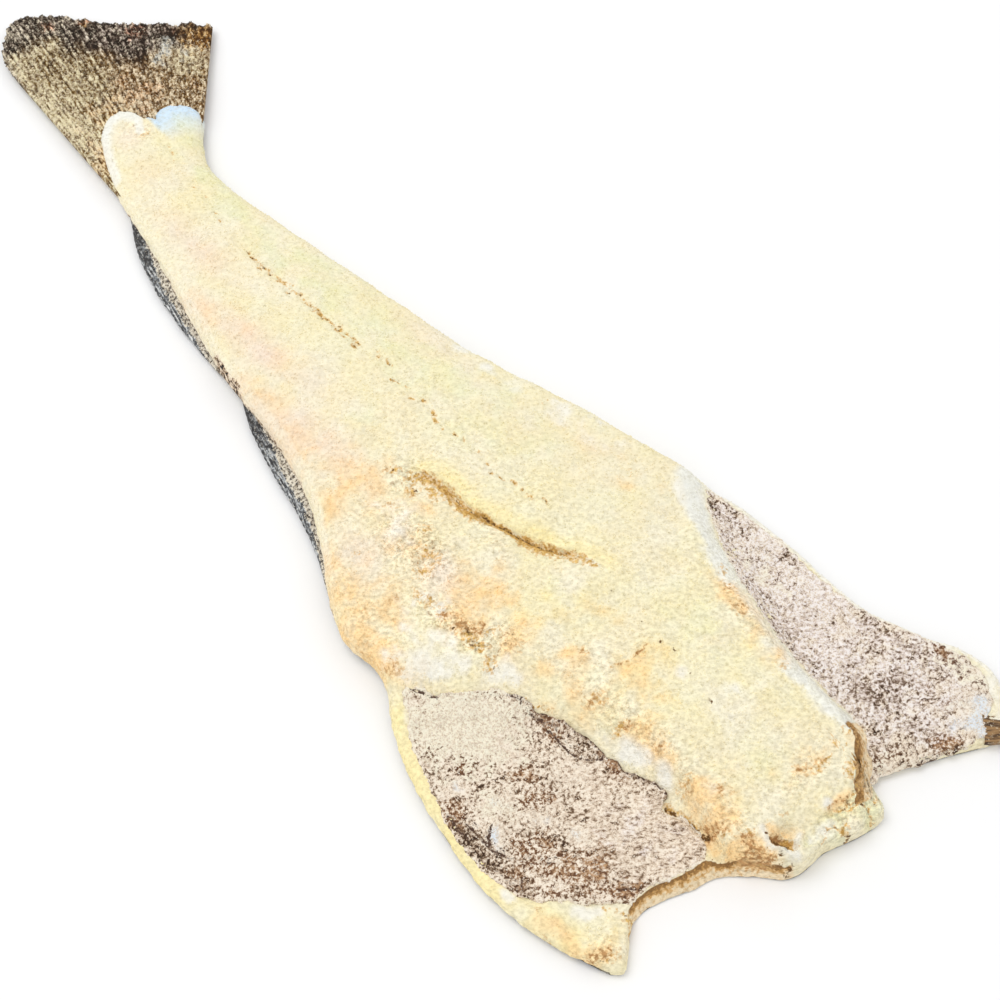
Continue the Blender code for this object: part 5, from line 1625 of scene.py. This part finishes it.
# Salt.


def scatter(grid, density, count, seed, **masks):
    """Random places on a grid of points, more where density is higher, with normals and masks there."""
    draw = np.random.default_rng(seed)
    a, b, c, d = grid[:-1, :-1], grid[:-1, 1:], grid[1:, 1:], grid[1:, :-1]
    cross = np.cross(c - a, d - b)
    area = np.linalg.norm(cross, axis=-1) / 2
    weight = area * (density[:-1, :-1] + density[1:, 1:]) / 2
    total = np.cumsum(weight.ravel())
    cell = np.searchsorted(total, draw.uniform(0, total[-1], count))
    i, j = np.unravel_index(np.minimum(cell, weight.size - 1), weight.shape)
    u, v = draw.uniform(0, 1, (2, count, 1))
    points = (a[i, j] * (1 - u) + b[i, j] * u) * (1 - v) + (d[i, j] * (1 - u) + c[i, j] * u) * v
    normal = cross[i, j] / np.maximum(np.linalg.norm(cross[i, j], axis=-1, keepdims=True), 1e-9)
    return points, normal, {name: value[i, j] for name, value in masks.items()}


OCTAHEDRON = np.array([(1, 0, 0), (-1, 0, 0), (0, 1, 0), (0, -1, 0), (0, 0, 1), (0, 0, -1)], float)
OCTAHEDRON_FACES = np.array(
    [(0, 2, 4), (2, 1, 4), (1, 3, 4), (3, 0, 4), (2, 0, 5), (1, 2, 5), (3, 1, 5), (0, 3, 5)]
)


def turned(count, draw):
    """Random rotations as an array (count, 3, 3)."""
    q = draw.normal(size=(count, 4))
    w, x, y, z = (q / np.linalg.norm(q, axis=1, keepdims=True)).T
    return np.stack([
        1 - 2 * (y * y + z * z), 2 * (x * y - z * w), 2 * (x * z + y * w),
        2 * (x * y + z * w), 1 - 2 * (x * x + z * z), 2 * (y * z - x * w),
        2 * (x * z - y * w), 2 * (y * z + x * w), 1 - 2 * (x * x + y * y),
    ], -1).reshape(-1, 3, 3)


def salt_grains(name, places, normals, sizes, sink, material, seed, **masks):
    """One piece of small closed crystals, each turned, stretched and sunk by a random amount."""
    draw = np.random.default_rng(seed)
    count, corners = len(places), len(OCTAHEDRON)
    radius = draw.uniform(*sizes, (count, 1, 1)) * draw.uniform(0.75, 1.25, (count, 1, 3))
    jitter = draw.uniform(-0.18, 0.18, (count, corners, 3))
    local = (OCTAHEDRON + jitter) * radius
    local = np.einsum("nij,nkj->nki", turned(count, draw), local)
    centre = places + normals * (radius.mean((1, 2)) * (1 - sink))[:, None]
    points = (centre[:, None] + local).reshape(-1, 3)
    faces = (OCTAHEDRON_FACES[None] + (np.arange(count) * corners)[:, None, None]).reshape(-1, 3)
    masks = {"tone": draw.uniform(0, 1, count), **masks}
    masks = {key: np.repeat(value, corners) for key, value in masks.items()}
    piece = make_piece(name, points, faces.tolist(), material, **masks)
    piece.data.shade_flat()


def spread(*patches):
    """Places and normals on several patches, each given as (grid, density, count, seed)."""
    return (np.concatenate(parts) for parts in zip(*(scatter(*patch)[:2] for patch in patches)))


# Camera, light and floor.

CAMERA_ELEVATION, CAMERA_AZIMUTH, CAMERA_DISTANCE = 60, -40, 1.21
CAMERA_TARGET = (0.010982, -0.07812, 0)
LENS, SENSOR_WIDTH = 85, 36
SKY_STRENGTH = 0.86
KEY_PLACE, KEY_SIZE, KEY_POWER = (-0.45, 0.75, 2.2), 1.5, 17
FLOOR_HALF, FLOOR_DROP = 6, 0.0002


def camera():
    """The camera at the photo's angle over the fish."""
    e, a = math.radians(CAMERA_ELEVATION), math.radians(CAMERA_AZIMUTH)
    back = Vector((math.sin(a) * math.cos(e), -math.cos(a) * math.cos(e), math.sin(e)))
    right = Vector((math.cos(a), math.sin(a), 0))
    turn = Matrix((right, back.cross(right), back)).transposed().to_4x4()
    data = bpy.data.cameras.new("camera")
    data.lens, data.sensor_width = LENS, SENSOR_WIDTH
    data.clip_start, data.clip_end = 0.05, 20
    view = bpy.data.objects.new("camera", data)
    view.matrix_world = Matrix.Translation(Vector(CAMERA_TARGET) + back * CAMERA_DISTANCE) @ turn
    bpy.context.scene.collection.objects.link(view)
    bpy.context.scene.camera = view


def light():
    """White light from all round, and one large soft lamp high up, a little behind the fish."""
    world = bpy.data.worlds.new("studio")
    world.use_nodes = True
    background = world.node_tree.nodes["Background"]
    background.inputs["Color"].default_value = (1, 1, 1, 1)
    background.inputs["Strength"].default_value = SKY_STRENGTH
    bpy.context.scene.world = world
    bpy.context.scene.view_settings.view_transform = "Standard"
    data = bpy.data.lights.new("key", "AREA")
    data.shape, data.size, data.energy = "DISK", KEY_SIZE, KEY_POWER
    lamp = bpy.data.objects.new("key", data)
    lamp.location = KEY_PLACE
    lamp.rotation_euler = (-Vector(KEY_PLACE)).to_track_quat("-Z", "Y").to_euler()
    bpy.context.scene.collection.objects.link(lamp)


def floor():
    """The plain pale floor."""
    data = bpy.data.meshes.new("floor")
    corners = [(-1, -1), (1, -1), (1, 1), (-1, 1)]
    data.from_pydata([(a * FLOOR_HALF, b * FLOOR_HALF, 0) for a, b in corners], [], [(0, 1, 2, 3)])
    paint = Paint("floor", roughness=0.9, specular=0.1)
    paint.colour(paint.mix(paint.noise(60, 2), (0.93, 0.93, 0.93), (0.95, 0.95, 0.95)))
    data.materials.append(paint.material)
    ground = bpy.data.objects.new("floor", data)
    ground.location.z = -FLOOR_DROP
    bpy.context.scene.collection.objects.link(ground)


# The whole fish.

FLESH_GRAINS, LEFT_GRAINS, RIGHT_GRAINS, TAIL_GRAINS, ANAL_FIN_GRAINS = 24000, 7150, 5850, 11000, 750


def main():
    """Makes the pieces of the fish, then the salt on them."""
    camera()
    light()
    floor()
    top, flesh_salt, flesh_look, flesh_paint = flesh()
    skin()
    left, left_salt = lining_sheet(
        "belly_lining_left", LEFT_LINING, LEFT_SIZE, 0.8, LEFT_LIFTED, LEFT_CRUST, LEFT_BARE, LEFT_FOLDS,
        warm=LEFT_WARM, lilac=LEFT_LILAC, cream=LEFT_CREAM, cool=LEFT_COOL, blue=LEFT_BLUE,
    )
    right, right_salt = lining_sheet(
        "belly_lining_right", RIGHT_LINING, RIGHT_SIZE, 0.7, NOT_LIFTED, RIGHT_CRUST, RIGHT_BARE, RIGHT_FOLDS,
        warm=RIGHT_WARM, lilac=RIGHT_LILAC, cream=RIGHT_CREAM, cool=RIGHT_COOL, blue=RIGHT_BLUE,
    )
    fin, fin_salt, fin_look, fin_paint = tail_fin()
    rear, rear_salt = anal_fin("rear_anal_fin", REAR_ANAL_FIN, 131)
    front, front_salt = anal_fin("front_anal_fin", FRONT_ANAL_FIN, 141)
    pectoral_stub()

    # The salt on the flesh and on the tail fin takes the colour of what it lies on.
    places, normals, look = scatter(top, flesh_salt, FLESH_GRAINS, 201, **flesh_look)
    salt_grains("fine_salt", places, normals, (0.24, 0.5), 0.85, flesh_paint, 202, **look)

    places, normals = spread(
        (left, left_salt**2 + 0.02, LEFT_GRAINS, 203), (right, right_salt**2 + 0.02, RIGHT_GRAINS, 204)
    )
    material = salt_material("coarse_salt", (0.92, 0.83, 0.71), (0.72, 0.60, 0.47))
    salt_grains("coarse_salt", places, normals, (0.22, 0.5), 0.7, material, 205)

    places, normals, look = scatter(fin, fin_salt + 0.01, TAIL_GRAINS, 206, **fin_look)
    salt_grains("tail_salt", places, normals, (0.25, 0.65), 0.6, fin_paint, 207, **look)

    places, normals = spread(
        (rear, rear_salt, ANAL_FIN_GRAINS, 208), (front, front_salt, ANAL_FIN_GRAINS, 209)
    )
    material = salt_material("fin_salt", (0.80, 0.76, 0.66), (0.45, 0.40, 0.32))
    salt_grains("fin_salt", places, normals, (0.25, 0.55), 0.5, material, 210)


main()
